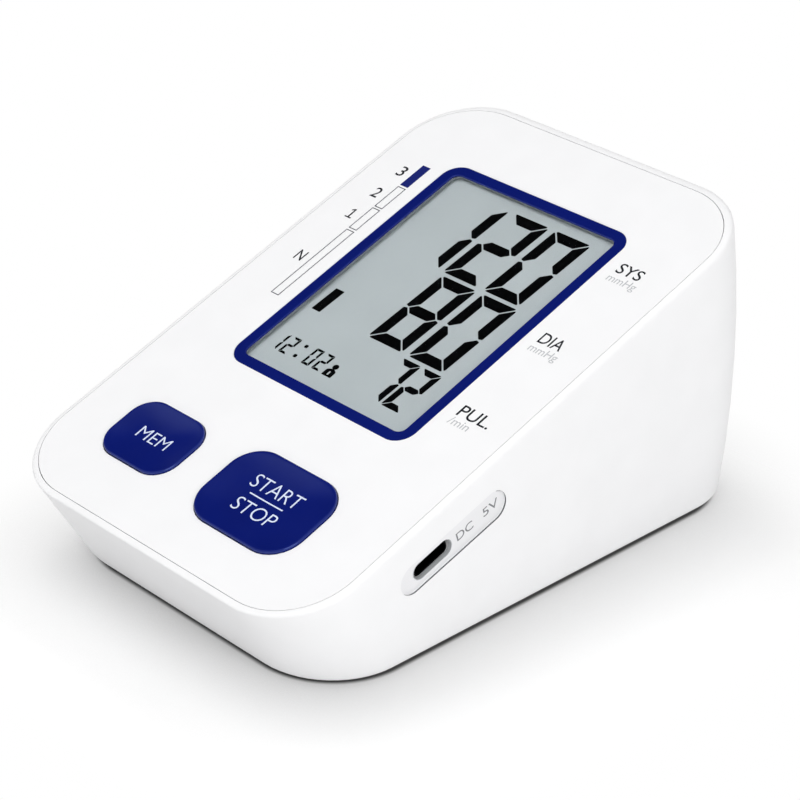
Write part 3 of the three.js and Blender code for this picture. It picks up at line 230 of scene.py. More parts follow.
# %% [markdown]
# ## Plastics
#
# The case, its door and its panel are white ABS, moulded in a mould that was spark
# eroded, which leaves a satin grain of about a third of a millimetre. The buttons and
# the display's frame come out of a polished mould, so their blue is smooth and clear,
# with only the long ripple that cooling plastic keeps. Grey ABS, black nylon and acetal
# parts inside differ in colour, grain and gloss, so one function makes them all.
#
# Plain ABS has an IOR of about 1.5. The blue is given 1.8 and a blue tint to its gloss,
# because this polished skin over deep pigment mirrors the bright room as a clear lilac
# blue. With 1.5 and a white gloss it would look darker and greyer.

# %% Moulded plastics
PIGMENT_DRIFT_MM = 9
MATT_SPREAD = 0.04
WHITE = (1.0, 1.0, 1.0, 1.0)
BLUE_GLOSS = (0.35, 0.48, 1.0, 1.0)


def moulded(name, colour, shade, roughness, grain_mm, grain_depth_mm, ior=1.5,
            gloss_tint=WHITE):
    """Moulded plastic: its colour drifts to a shade of it over some millimetres, as
    pigment does, and the mould's grain is a bump that also varies the roughness."""
    def inputs(material):
        surface = grain(material, grain_mm)
        pigment = grain(material, PIGMENT_DRIFT_MM, detail=1.0)
        return {
            "Base Color": tinted(material, pigment, shade, colour),
            "Roughness": between(material, surface, roughness - MATT_SPREAD,
                                 roughness + MATT_SPREAD),
            "Normal": raised(material, surface, grain_depth_mm),
            "IOR": ior, "Specular Tint": gloss_tint}
    return shaded(name, inputs)


satin_white_abs = moulded("satin_white_abs", "#F8F8F9", "#F6F6F7", 0.4, 0.35, 0.004)
polished_blue_abs = moulded("polished_blue_abs", "#08186E", "#071669", 0.15, 5.0, 0.004,
                            ior=1.8, gloss_tint=BLUE_GLOSS)
natural_grey_abs = moulded("natural_grey_abs", "#9DA3A6", "#959B9E", 0.5, 0.3, 0.006)
soft_grey_tpe = moulded("soft_grey_tpe", "#C6C8CB", "#BFC1C4", 0.6, 0.3, 0.006)
pale_satin_film = moulded("pale_satin_film", "#EFEFF1", "#EDEDEF", 0.45, 0.25, 0.002)
# Grey for the frame's inner wall and the window's edge: painted shade for the strip inside
# the frame.
painted_shade_edge_grey = moulded("painted_shade_edge_grey", "#8F969B", "#898F95", 0.6, 0.2, 0.004)
black_nylon = moulded("glass_filled_black_nylon", "#222326", "#1C1D20", 0.55, 0.25, 0.012)
white_acetal = moulded("white_acetal", "#E3E1D8", "#DDDBD1", 0.35, 0.4, 0.004, ior=1.48)
black_epoxy = moulded("black_moulding_epoxy", "#26272A", "#1E1F22", 0.6, 0.12, 0.01)
print("plastics:", len(bpy.data.materials))

# %% [markdown]
# ## Rubbers, film and wire
#
# Silicone hose is cloudy and lets a little light into its wall, so it gets some
# subsurface scattering. EPDM rubber, in the feet and the pump's diaphragm, is dull and
# slightly dusty. The PVC on wires is glossier, and the printed film round a cell shines
# over a metal can, so it is a coat over a duller base.

# %% Soft finishes


def rubber(name, colour, dust, roughness, milky=0.0):
    """Rubber: a dull colour with paler dust in its low spots, and light that goes into
    the wall where it is milky."""
    def inputs(material):
        bloom = grain(material, 1.6, detail=4.0)
        return {
            "Base Color": tinted(material, bloom, colour, dust),
            "Roughness": roughness, "Subsurface Weight": milky,
            "Subsurface Radius": (0.002, 0.002, 0.0018), "Subsurface Scale": 0.6,
            "Normal": raised(material, grain(material, 0.3), 0.012)}
    return shaded(name, inputs)


epdm_rubber = rubber("black_epdm_rubber", "#232425", "#343536", 0.85)
silicone_hose = rubber("cloudy_silicone", "#D8D9D3", "#E4E5E0", 0.45, milky=0.5)
connector_rubber = rubber("elastomer_connector", "#3C3F43", "#57595C", 0.7)


def wire_cover(name, colour, shade):
    """PVC drawn over a wire: glossy, with a ripple as long as the die leaves it."""
    def inputs(material):
        ripple = grain(material, 0.8)
        return {"Base Color": tinted(material, ripple, shade, colour), "Roughness": 0.35,
                "Normal": raised(material, ripple, 0.02)}
    return shaded(name, inputs)


red_pvc = wire_cover("red_pvc_wire", "#B3231F", "#9F1D1A")
black_pvc = wire_cover("black_pvc_wire", "#232427", "#1B1C1F")

# %% [markdown]
# The four cells lie side by side with their positive ends by turns to the rear and to
# the front, as the contacts join them. A cell's film is slate with a pale band at its
# positive end. The band is a comparison along the cell, so each way round is a material
# of its own.

# %% Cell films
REAR_BAND_FROM_MM = 12
FRONT_BAND_FROM_MM = -4


def cell_film(name, beyond, band_edge_mm):
    """A shrunk film: a pale grey band at the positive end and a slate body. The band
    lies beyond a place along the cell, and the film's fine wrinkles run round it."""
    def inputs(material):
        place = add_node(material, "ShaderNodeTexCoord").outputs["Object"]
        along = add_node(material, "ShaderNodeSeparateXYZ", inputs={"Vector": place})
        band = add_node(material, "ShaderNodeMath", {"operation": beyond},
                        {0: along.outputs["Y"], 1: band_edge_mm * MM})
        return {
            "Base Color": tinted(material, band.outputs[0], "#4C5A69", "#C4C8CB"),
            "Metallic": 0.2, "Roughness": 0.4, "Coat Weight": 0.8, "Coat Roughness": 0.1,
            "Normal": raised(material, grain(material, 0.7, stretch=(6, 1, 6)), 0.02)}
    return shaded(name, inputs)


film_positive_rear = cell_film("shrunk_film_positive_rear", "GREATER_THAN",
                               REAR_BAND_FROM_MM)
film_positive_front = cell_film("shrunk_film_positive_front", "LESS_THAN",
                                FRONT_BAND_FROM_MM)

# %% [markdown]
# ## Metals
#
# Sheet steel is rolled, so its fine lines run one way, and a plating of zinc or nickel
# keeps them. The lines are noise drawn out along one axis. They are really a few
# hundredths of a millimetre wide, and are drawn at a tenth so that they show. Metals
# keep the default IOR, because their colour already says how they reflect.

# %% Plated metals
LINE_WIDTH_MM = 0.1
LINE_SMOOTHER, LINE_DULLER = 0.08, 0.1


def plated(name, colour, shade, roughness, stretch):
    """Plated metal: rolling lines along the stretched axis change the roughness and
    stand a few thousandths of a millimetre, over a tone that clouds slowly."""
    def inputs(material):
        lines = grain(material, LINE_WIDTH_MM, stretch=stretch)
        return {
            "Base Color": tinted(material, grain(material, 4), shade, colour),
            "Metallic": 1.0,
            "Roughness": between(material, lines, roughness - LINE_SMOOTHER,
                                 roughness + LINE_DULLER),
            "Normal": raised(material, lines, 0.003)}
    return shaded(name, inputs)


bright_zinc = plated("bright_zinc_plate", "#C9CDD1", "#B4B9BE", 0.3, (1, 1, 8))
bright_nickel = plated("bright_nickel_plate", "#D3CFC6", "#C2BDB2", 0.25, (12, 1, 1))
dark_nickel = plated("black_nickel_plate", "#17181A", "#101113", 0.45, (8, 1, 1))
drawn_steel = plated("drawn_motor_steel", "#B7BABD", "#A3A7AA", 0.35, (20, 1, 1))
stacked_laminations = plated("stacked_laminations", "#8E8A86", "#6F6B68", 0.45, (0.6, 8, 8))
print("materials so far:", len(bpy.data.materials))

# %% [markdown]
# ## Circuit board
#
# A circuit board is glass cloth and epoxy under a green solder mask. Copper tracks show
# through the mask as a paler green, a little raised. Tracks run square to each other
# with parts between them, so a brick pattern turned into the board's plane stands for
# them: its mortar lines are the tracks.

# %% Board
TRACK_WIDTH_MM, TRACK_RISE_MM = 0.3, 0.03
TRACKS_APART_MM = (3.2, 1.6)


def board_surface(material):
    """Green mask over tracks. The tracks are the mortar of bricks on the panel's plane,
    half a track wide to each side, and they lift the mask a little."""
    place = add_node(material, "ShaderNodeTexCoord").outputs["Object"]
    level = add_node(material, "ShaderNodeMapping", inputs={
        "Vector": place, "Rotation": (-PANEL_SLOPE, 0, 0)})
    tracks = add_node(material, "ShaderNodeTexBrick", inputs={
        "Vector": level.outputs["Vector"], "Scale": 1.0,
        "Mortar Size": TRACK_WIDTH_MM / 2 * MM, "Mortar Smooth": 0.3,
        "Brick Width": TRACKS_APART_MM[0] * MM, "Row Height": TRACKS_APART_MM[1] * MM})
    mask = tinted(material, grain(material, 2.0), "#14452B", "#194F32")
    tone = add_node(material, "ShaderNodeMix", {"data_type": "RGBA"})
    link_all(material.node_tree, ((tracks.outputs["Fac"], tone.inputs["Factor"]),
                                  (mask, tone.inputs["A"])))
    tone.inputs["B"].default_value = linear("#2F7A4C")
    return {"Base Color": tone.outputs["Result"], "Roughness": 0.35,
            "Normal": raised(material, tracks.outputs["Fac"], TRACK_RISE_MM)}


green_solder_mask = shaded("green_solder_mask", board_surface)

# %% [markdown]
# ## Display glass and window
#
# The display is reflective: a silver film behind the liquid crystal throws back the
# room's light through two polarisers, which turn it a cool grey and leave a satin
# surface with very fine lines along their stretch. The window over it is clear acrylic.
# Plain acrylic has an IOR of 1.49, but this sheet's coat takes most of its reflection
# away, so the shader's IOR is lower, which reflects as little as the coated sheet.

# %% Display finishes


def polariser(material):
    """A satin grey film: lines a quarter of a millimetre apart along the width vary the
    roughness a little, and the tone clouds slowly by one step, from the liquid."""
    lines = grain(material, 0.25, stretch=(30, 1, 1))
    cloud = grain(material, 14, detail=1.0)
    return {
        "Base Color": tinted(material, cloud, "#C4CED1", "#C8D2D5"),
        "Roughness": between(material, lines, 0.32, 0.42),
        "Normal": raised(material, lines, 0.0006), "Specular IOR Level": 0.35}


lcd_polariser = shaded("lcd_reflective_polariser", polariser)


def coated(material):
    """Clear cast sheet: everything passes, apart from the little that the coat reflects,
    and the coat has the faint long ripple of a dipped film."""
    return {"Base Color": WHITE, "Transmission Weight": 1.0, "IOR": 1.2,
            "Roughness": between(material, grain(material, 3), 0.0, 0.02),
            "Normal": raised(material, grain(material, 12), 0.002)}


clear_acrylic = shaded("coated_clear_acrylic", coated)

# %% [markdown]
# ## Finishes for the solids
#
# Each solid already carries the name of what it is, so one table gives every one of
# them its finish, also those that a finer piece replaces below. The case and the panel
# are made of many small flat faces, so a modifier merges their corners and shades
# across every edge that turns less than 35 degrees. It leaves the mesh as it came.

# %% Hand the finishes out
NODE_FINISH = {
    satin_white_abs: ["front_panel", "body_shell", "battery_door"],
    polished_blue_abs: ["display_bezel", "start_stop_button", "memory_button"],
    clear_acrylic: ["display_window"],
    lcd_polariser: ["lcd_glass"],
    natural_grey_abs: ["lcd_tray", "pressure_sensor", "air_manifold"],
    connector_rubber: ["lcd_connector"],
    white_acetal: ["start_stop_switch_plunger", "memory_switch_plunger", "pump_cap"],
    dark_nickel: ["charging_socket"],
    bright_zinc: ["start_stop_switch", "memory_switch", "board_screw_front_left",
                  "board_screw_front_right", "board_screw_rear_left",
                  "board_screw_rear_right", "case_screw_front_left",
                  "case_screw_front_right", "case_screw_side_left", "case_screw_side_right",
                  "exhaust_valve_plunger"],
    green_solder_mask: ["main_circuit_board"],
    black_epoxy: ["microcontroller", "buzzer"],
    black_nylon: ["pump_head", "exhaust_valve", "cuff_air_socket"],
    epdm_rubber: ["rubber_foot_front_left", "rubber_foot_front_right",
                  "rubber_foot_rear_left", "rubber_foot_rear_right", "pump_diaphragm"],
    film_positive_rear: ["battery_cell_1", "battery_cell_3"],
    film_positive_front: ["battery_cell_2", "battery_cell_4"],
    bright_nickel: ["battery_contact_front_left", "battery_contact_front_right",
                    "battery_contact_rear_middle", "battery_terminal_positive",
                    "battery_terminal_negative"],
    red_pvc: ["battery_lead_positive"],
    black_pvc: ["battery_lead_negative"],
    drawn_steel: ["pump_motor_can"],
    stacked_laminations: ["pump_rotor"],
    silicone_hose: ["hose_pump", "hose_cuff", "hose_valve", "hose_sensor"],
}
for finish, node_names in NODE_FINISH.items():
    for node_name in node_names:
        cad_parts[node_name].material_slots[0].material = finish
bare = set(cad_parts) - {name for names in NODE_FINISH.values() for name in names}
print("solids without a finish:", sorted(bare))

# %% Shade the solids' rounded edges smoothly
SMOOTH_BELOW = math.radians(35)
SAME_CORNER_MM = 0.002
smoothing = bpy.data.node_groups.new("shade_round_edges", "GeometryNodeTree")
for way in ("INPUT", "OUTPUT"):
    smoothing.interface.new_socket("Geometry", in_out=way,
                                   socket_type="NodeSocketGeometry")
group_in = smoothing.nodes.new("NodeGroupInput")
group_out = smoothing.nodes.new("NodeGroupOutput")
forget = smoothing.nodes.new("GeometryNodeRemoveAttribute")
forget.inputs["Name"].default_value = "custom_normal"
merge = smoothing.nodes.new("GeometryNodeMergeByDistance")
merge.inputs["Distance"].default_value = SAME_CORNER_MM * MM
round_faces = smoothing.nodes.new("GeometryNodeSetShadeSmooth")
round_faces.domain = "FACE"
turn = smoothing.nodes.new("GeometryNodeInputMeshEdgeAngle")
is_soft = smoothing.nodes.new("FunctionNodeCompare")
is_soft.operation = "LESS_THAN"
is_soft.inputs[1].default_value = SMOOTH_BELOW
keep_edges = smoothing.nodes.new("GeometryNodeSetShadeSmooth")
keep_edges.domain = "EDGE"
link_all(smoothing, (
    (group_in.outputs[0], forget.inputs["Geometry"]),
    (forget.outputs["Geometry"], merge.inputs["Geometry"]),
    (merge.outputs["Geometry"], round_faces.inputs["Geometry"]),
    (round_faces.outputs["Geometry"], keep_edges.inputs["Geometry"]),
    (turn.outputs["Unsigned Angle"], is_soft.inputs[0]),
    (is_soft.outputs["Result"], keep_edges.inputs["Shade Smooth"]),
    (keep_edges.outputs["Geometry"], group_out.inputs[0])))
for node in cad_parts.values():
    node.modifiers.new("shade_round_edges", "NODES").node_group = smoothing
print("solids shaded smoothly:", len(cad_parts))

# %% [markdown]
# ## Surfaces from rings
#
# The display's frame and the buttons are rounded rectangles whose section changes with
# height. Both are a stack of rings: each ring is the same outline drawn in by an inset
# and set at a height, and quads join each ring to the next. A ring of rings makes the
# frame, and a stack with closed ends makes a button. A box with bevelled edges would do
# too, but here one formula gives as fine a surface as we like, with the section we want.

# %% Rings
CORNER_STEPS = 16
SIDE_STEPS = 6


def rounded_outline(width, length, radius):
    """Counter-clockwise rows of (u, v) round a rectangle about the origin: a quarter
    circle at each corner, from its centre plus the radius times (cosine, sine), and
    evenly spaced points on the straight stretch to the next."""
    quarter = np.linspace(0, np.pi / 2, CORNER_STEPS + 1)
    arcs = []
    for turns, signs in enumerate(((1, 1), (-1, 1), (-1, -1), (1, -1))):
        angle = quarter + turns * np.pi / 2
        centre = np.multiply(signs, (width / 2 - radius, length / 2 - radius))
        arcs.append(centre + radius * np.stack([np.cos(angle), np.sin(angle)], axis=1))
    share = np.linspace(0, 1, SIDE_STEPS + 1)[1:-1, None]
    stretches = [arc[-1] + (following[0] - arc[-1]) * share
                 for arc, following in zip(arcs, arcs[1:] + arcs[:1])]
    return np.concatenate([part for pair in zip(arcs, stretches) for part in pair])


def at_height(flat, height):
    """Rows of (u, v) as rows of (u, v, height)."""
    return np.column_stack([flat, np.broadcast_to(height, len(flat))])


def join_rings(rings, is_loop):
    """Quads between neighbours of a (ring, place, 3) array: place j of ring i, j + 1 of
    ring i, j + 1 of ring i + 1, j of ring i + 1. A loop joins its last ring to its
    first, and a stack closes its two ends with one face each."""
    index = np.arange(rings.shape[0] * rings.shape[1]).reshape(rings.shape[:2])
    low = index if is_loop else index[:-1]
    high = np.roll(index, -1, axis=0)[:len(low)]
    quads = np.stack([low, np.roll(low, -1, 1), np.roll(high, -1, 1), high], axis=-1)
    faces = quads.reshape(-1, 4).tolist()
    if not is_loop:
        faces += [index[0, ::-1].tolist(), index[-1].tolist()]
    return rings.reshape(-1, 3), faces


def new_piece(name, points, faces, body, finishes, face_finish=None, sharp_over=40):
    """An object from points in metres and faces, riding on its body, shaded smoothly
    but for edges that turn more than sharp_over degrees."""
    mesh = bpy.data.meshes.new(name)
    mesh.from_pydata(points.tolist(), [], faces)
    for finish in finishes:
        mesh.materials.append(finish)
    if face_finish is not None:
        mesh.polygons.foreach_set("material_index", face_finish)
    mesh.shade_smooth()
    mesh.set_sharp_from_angle(angle=math.radians(sharp_over))
    piece = bpy.data.objects.new(name, mesh)
    scene.collection.objects.link(piece)
    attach(piece, body)
    print(name, len(mesh.polygons), "faces")
    return piece


# %% [markdown]
# ## The display's frame
#
# The frame is one blue moulding round the display, flush with the panel. Its top is
# flat, its outer edge is barely broken, and its inner edge has a fine chamfer that
# mirrors the bright room as a thin lilac line. Two rings close together at each edge of
# the flat top keep its shading flat up to there. Under the chamfer the wall drops to
# the display, and below the window it is grey, as the tray behind it is. That grey is
# also painted shade: it stands for the dark strip of shade along the frame's inner edge.
# The window is a clear sheet in that opening. Its cut edge is painted grey, so no light
# leaks there, and that grey adds to the same painted shade. The panel's opening has a
# thin lip that the frame drops into, so hardly any gap shows.

# %% Frame round the display
BEZEL_BORDER = 2.6
BEZEL_RADIUS = 4.3
BEZEL_CHAMFER = 0.16
EDGE_BREAK = 0.1
RING_GAP = 0.04
BLUE_BANDS = 8
window_low, window_high = panel_reach("display_window")
bezel_size = (frame_high - frame_low)[:2]
bezel_centre = (frame_high + frame_low)[:2] / 2
bezel_bottom = frame_low[2]
flat_to = BEZEL_BORDER - BEZEL_CHAMFER
bezel_section = [
    (0.0, bezel_bottom), (0.0, -EDGE_BREAK), (0.3 * EDGE_BREAK, -0.3 * EDGE_BREAK),
    (EDGE_BREAK, 0.0), (EDGE_BREAK + RING_GAP, 0.0), (flat_to - RING_GAP, 0.0),
    (flat_to, 0.0), (BEZEL_BORDER, -BEZEL_CHAMFER), (BEZEL_BORDER, window_high[2]),
    (BEZEL_BORDER, bezel_bottom)]


def bezel_ring(inset, height):
    """The frame's outline drawn in by the inset, at a height."""
    outline = rounded_outline(*(bezel_size - 2 * inset), BEZEL_RADIUS - inset)
    return at_height(bezel_centre + outline, height)


points, faces = join_rings(np.stack([bezel_ring(*place) for place in bezel_section]),
                           is_loop=True)
# The two lowest bands are grey: painted shade for the dark strip inside the frame.
band_finish = np.repeat([0] * BLUE_BANDS + [1] * (len(bezel_section) - BLUE_BANDS),
                        len(points) // len(bezel_section))
bezel = new_piece("display_frame", on_panel(points), faces, "case",
                  [polished_blue_abs, painted_shade_edge_grey], band_finish, sharp_over=30)
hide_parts("display_bezel")

# %% Lip of the panel's opening
LIP_INNER, LIP_OUTER = -0.04, -0.29
LIP_DEEP = -0.8
points, faces = join_rings(np.stack([bezel_ring(*place) for place in (
    (LIP_OUTER, LIP_DEEP), (LIP_OUTER, 0.0), (LIP_INNER, 0.0), (LIP_INNER, LIP_DEEP))]),
    is_loop=True)
new_piece("display_opening_lip", on_panel(points), faces, "case",
          [satin_white_abs], sharp_over=30)

# %% Window sheet
WINDOW_GAP = 0.02
points, faces = join_rings(np.stack([bezel_ring(BEZEL_BORDER + WINDOW_GAP, height)
                                     for height in (window_low[2], window_high[2])]),
                           is_loop=False)
# The window's sides are grey: painted shade that shows through the sheet.
sheet_finish = [1] * (len(faces) - 2) + [0, 0]
window = new_piece("window_sheet", on_panel(points), faces, "case",
                   [clear_acrylic, painted_shade_edge_grey], sheet_finish)
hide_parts("display_window")

# %% [markdown]
# ## The buttons
#
# Each button is a cap with a soft edge and a shallow dish for the finger, a flange that
# keeps it behind the panel, and a stem down to its switch. All of them are rings round
# one centre line, so the whole button is one closed stack. The dish rises to the edge
# with the fourth power mean of the place across and along the cap, which follows a
# rounded rectangle closely, and the printed words use the same function to lie on it.

# %% Dished caps
CAP_EDGE = 0.3
CAP_SIDE = 0.3
CAP_DISH = 0.5
FLANGE_TOP = -2.7
FLANGE_BOTTOM = -3.5
FLANGE_WIDTH = 0.8
STEM_RADIUS = 2.2
EDGE_STEPS = 7
DISH_SHARES = (1, 0.96, 0.9, 0.8, 0.65, 0.5, 0.35, 0.2, 0.08)


class Cap:
    """A button's outline on the panel, and how high its dish lies over it."""

    def __init__(self, node_name, radius):
        low, high = panel_reach(node_name)
        self.centre = (low[:2] + high[:2]) / 2
        self.size = high[:2] - low[:2] - 2 * FLANGE_WIDTH
        self.bottom = low[2]
        self.radius = radius

    def height(self, flat):
        """Side and edge height, less the dish times one less the square of the fourth
        power mean of the place, as a share of the way from the centre to the edge."""
        share = np.abs(flat - self.centre) / (self.size / 2 - CAP_EDGE)
        reach = np.minimum((share ** 4).sum(axis=1) ** 0.25, 1)
        return CAP_SIDE + CAP_EDGE - CAP_DISH * (1 - reach ** 2)

    def ring(self, inset, height):
        """The outline drawn in by the inset, at a height."""
        outline = rounded_outline(*(self.size - 2 * inset), self.radius - inset)
        return at_height(self.centre + outline, height)

    def dish_ring(self, share):
        """The dish's outline, shrunk to a share of its size about the centre."""
        outline = rounded_outline(*(self.size - 2 * CAP_EDGE), self.radius - CAP_EDGE)
        flat = self.centre + outline * share
        return at_height(flat, self.height(flat))

    def stem_ring(self, height):
        """The stem's circle, as a rounded square that is all corner."""
        outline = rounded_outline(2 * STEM_RADIUS, 2 * STEM_RADIUS, STEM_RADIUS)
        return at_height(self.centre + outline, height)


def button(name, cap, node_name):
    """The stack of rings from the stem's end up to the dish's middle."""
    edge_turn = np.linspace(0, np.pi / 2, EDGE_STEPS)[1:-1]
    rings = [cap.stem_ring(cap.bottom), cap.stem_ring(FLANGE_BOTTOM),
             cap.ring(-FLANGE_WIDTH, FLANGE_BOTTOM), cap.ring(-FLANGE_WIDTH, FLANGE_TOP),
             cap.ring(0, FLANGE_TOP), cap.ring(0, CAP_SIDE)]
    rings += [cap.ring(CAP_EDGE * (1 - math.cos(t)), CAP_SIDE + CAP_EDGE * math.sin(t))
              for t in edge_turn]
    rings += [cap.dish_ring(share) for share in DISH_SHARES]
    points, faces = join_rings(np.stack(rings), is_loop=False)
    piece = new_piece(name, on_panel(points), faces, node_name,
                      [polished_blue_abs], sharp_over=50)
    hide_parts(node_name)


START_RADIUS, MEMORY_RADIUS = 6.8, 5.4
start_cap = Cap("start_stop_button", START_RADIUS)
memory_cap = Cap("memory_button", MEMORY_RADIUS)
button("start_stop_cap", start_cap, "start_stop_button")
button("memory_cap", memory_cap, "memory_button")
print("start/stop cap:", start_cap.centre.round(2), start_cap.size.round(2))

# %% [markdown]
# ## The case screws
#
# Four zinc plated screws come up from the underside into the panel's posts. Their heads
# show at the end of the case's holes, so each has a real cross recess, and the shank has
# the steep thread that cuts its own way into plastic. A screw could be a spun profile
# with its recess cut out, but recess and thread are only radii that change with the
# angle, so it is one more stack of rings.

# %% Cross recess and thread
CROSS_REACH, CROSS_HALF_WIDTH, CROSS_DEPTH = 1.75, 0.47, 1.2
HEAD_RADIUS, HEAD_HEIGHT = 2.7, 2.0
HEAD_EDGE = ((0.4, 0.0), (0.12, 0.1), (0.0, 0.4), (0.0, HEAD_HEIGHT))
THREAD_CORE, THREAD_CREST, THREAD_PITCH = 0.85, 1.2, 1.1
TIP_LENGTH, TIP_SHARE = 1.5, 0.3
POINTS_ROUND, RINGS_UP = 48, 89
screw_angle = np.arange(POINTS_ROUND) / POINTS_ROUND * 2 * np.pi


def cross_reach(angle):
    """How far a plus sign reaches from its middle: the further of its two bars, each
    of which stops at its end or at its side, whichever comes first."""
    across = np.abs(np.cos(angle)).clip(1e-6)
    along = np.abs(np.sin(angle)).clip(1e-6)
    return np.maximum(np.minimum(CROSS_REACH / across, CROSS_HALF_WIDTH / along),
                      np.minimum(CROSS_HALF_WIDTH / across, CROSS_REACH / along))


def thread_reach(angle, height, length):
    """From the core up a wedge to the crest and back once a pitch, one pitch on for
    each turn, and shrinking over the tip to a share of the radius."""
    turns = height / THREAD_PITCH - angle / (2 * np.pi)
    wedge = 1 - 2 * np.abs(turns % 1 - 0.5)
    tip = min(1, TIP_SHARE + (length - height) / TIP_LENGTH)
    return (THREAD_CORE + (THREAD_CREST - THREAD_CORE) * wedge ** 2) * tip


def threaded_screw(node_name):
    """The stack from the recess's floor, which is half as wide as its mouth, round the
    head and up the thread. Each ring is a radius times (cosine, sine), at a height."""
    low, high = (np.array(corner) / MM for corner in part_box(node_name))
    length = high[2] - low[2]
    cross = cross_reach(screw_angle)
    section = [(cross * 0.5, CROSS_DEPTH), (cross * 0.92, 0.1 * CROSS_DEPTH), (cross, 0.0)]
    section += [(np.full(POINTS_ROUND, HEAD_RADIUS - inset), height)
                for inset, height in HEAD_EDGE]
    section += [(thread_reach(screw_angle, height, length), height)
                for height in np.linspace(HEAD_HEIGHT, length, RINGS_UP)]
    centre = np.array([*(low[:2] + high[:2]) / 2, low[2]])
    around_axis = np.column_stack([np.cos(screw_angle), np.sin(screw_angle)])
    rings = np.stack([at_height(around_axis * reach[:, None], height) + centre
                      for reach, height in section])
    points, faces = join_rings(rings, is_loop=False)
    piece = new_piece(node_name + "_threaded", points * MM, faces, "case",
                      [bright_zinc])
    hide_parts(node_name)


for corner_name in ("front_left", "front_right", "side_left", "side_right"):
    threaded_screw("case_screw_" + corner_name)

# %% [markdown]
# ## Inks
#
# The words and marks are screen printed: ink pressed through a mesh, so it stands about
# a fiftieth of a millimetre proud, is duller than the plastic, and its cover varies
# with the mesh. The mesh is finer than the render can show, so it is drawn at a tenth
# of a millimetre.

# %% Inks
MESH_MM = 0.1
INK_SMOOTH, INK_DULL = 0.5, 0.65


def screen_ink(name, colour, thin, specular=0.15):
    """Ink whose thinner spots show a paler or darker tone, dull and slightly uneven."""
    def inputs(material):
        cover = grain(material, MESH_MM)
        return {"Base Color": tinted(material, cover, thin, colour),
                "Roughness": between(material, cover, INK_SMOOTH, INK_DULL),
                "Specular IOR Level": specular,
                "Normal": raised(material, cover, 0.004)}
    return shaded(name, inputs)


charcoal_ink = screen_ink("charcoal_screen_ink", "#13151C", "#1B1D25")
pale_grey_ink = screen_ink("pale_grey_screen_ink", "#B9BABE", "#C2C3C6")
outline_ink = screen_ink("grey_outline_ink", "#42444E", "#4C4E58")
blue_ink = screen_ink("blue_screen_ink", "#0B1968", "#0F1D70")
white_ink = screen_ink("white_screen_ink", "#E0E9FC", "#D2DCF2")
port_ink = screen_ink("port_grey_ink", "#7C7D80", "#87888B")
# Not an ink: a dark grey painted shadow for the line round the port's recess.
painted_shadow_grey = screen_ink("painted_port_shadow_grey", "#54565A", "#606266")
lcd_ink = screen_ink("dark_liquid_crystal", "#030405", "#07080A", specular=0.0)
print("materials with the inks:", len(bpy.data.materials))

# %% [markdown]
# ## Flat shapes and words
#
# A print is a flat shape with a very small thickness. Every shape here is a pair: rows
# of (u, v, height) in millimetres, and faces. Words come from Blender's own font, which
# is turned to a mesh once and then scaled to the box that the word fills on the object,
# so its proportions follow the real print. Other marks are polygons with slightly
# rounded corners.

# %% Shapes
INK_THICKNESS = 0.02


def rectangle(low, high):
    """The corners of a rectangle from its low to its high corner, counter-clockwise."""
    return np.array([low, (high[0], low[1]), high, (low[0], high[1])], float)


def soften(corners, radii, steps=5):
    """Each corner of a polygon becomes a short curve: it starts and ends its radius
    away along the two sides, and is the quadratic blend of start, corner and end."""
    corners = np.asarray(corners, float)
    before = np.roll(corners, 1, axis=0) - corners
    after = np.roll(corners, -1, axis=0) - corners
    reach = np.broadcast_to(np.asarray(radii, float), len(corners))[:, None]
    start = corners + reach * before / np.linalg.norm(before, axis=1)[:, None]
    end = corners + reach * after / np.linalg.norm(after, axis=1)[:, None]
    t = np.linspace(0, 1, steps)[None, :, None]
    curve = (start[:, None] * (1 - t) ** 2 + 2 * corners[:, None] * t * (1 - t)
             + end[:, None] * t ** 2)
    return curve.reshape(-1, 2)


def slab(outline):
    """A polygon as a closed slab: its points below and above, one face each, and quads
    between. The polygon runs counter-clockwise."""
    rings = [at_height(outline, side * INK_THICKNESS / 2) for side in (-1, 1)]
    return join_rings(np.stack(rings), is_loop=False)


def ribbon(path, width):
    """A line of a width along a path of (u, v): at each of its points a ring of four
    stands across the path, half the width to either side."""
    along = np.gradient(path, axis=0)
    left = np.column_stack([-along[:, 1], along[:, 0]])
    left *= width / 2 / np.linalg.norm(left, axis=1)[:, None]
    rings = [at_height(path + side * left, rise * INK_THICKNESS / 2)
             for side, rise in ((1, -1), (1, 1), (-1, 1), (-1, -1))]
    return join_rings(np.stack(rings, axis=1), is_loop=False)


def hollow_bar(low, high, line):
    """A rectangle's outline as four rings round it: the outer and inner rectangle, below
    and above."""
    outer = rectangle(low, high)
    inner = outer + line * rectangle((1, 1), (-1, -1))
    rings = [at_height(ring, side * INK_THICKNESS / 2)
             for ring, side in ((outer, -1), (outer, 1), (inner, 1), (inner, -1))]
    return join_rings(np.stack(rings), is_loop=True)


def together(shapes):
    """Several shapes as one: points one after the other, and each shape's faces moved
    on by the points before it."""
    starts = np.cumsum([0] + [len(points) for points, _ in shapes[:-1]])
    faces = [[corner + int(start) for corner in face]
             for start, (_, own) in zip(starts, shapes) for face in own]
    return np.concatenate([points for points, _ in shapes]), faces


# %% Words
CAPITAL_SHARE = 0.682
LETTER_DEPTH = 0.01
LETTER_STEPS = 5
SAME_LETTER_CORNER = 0.0001


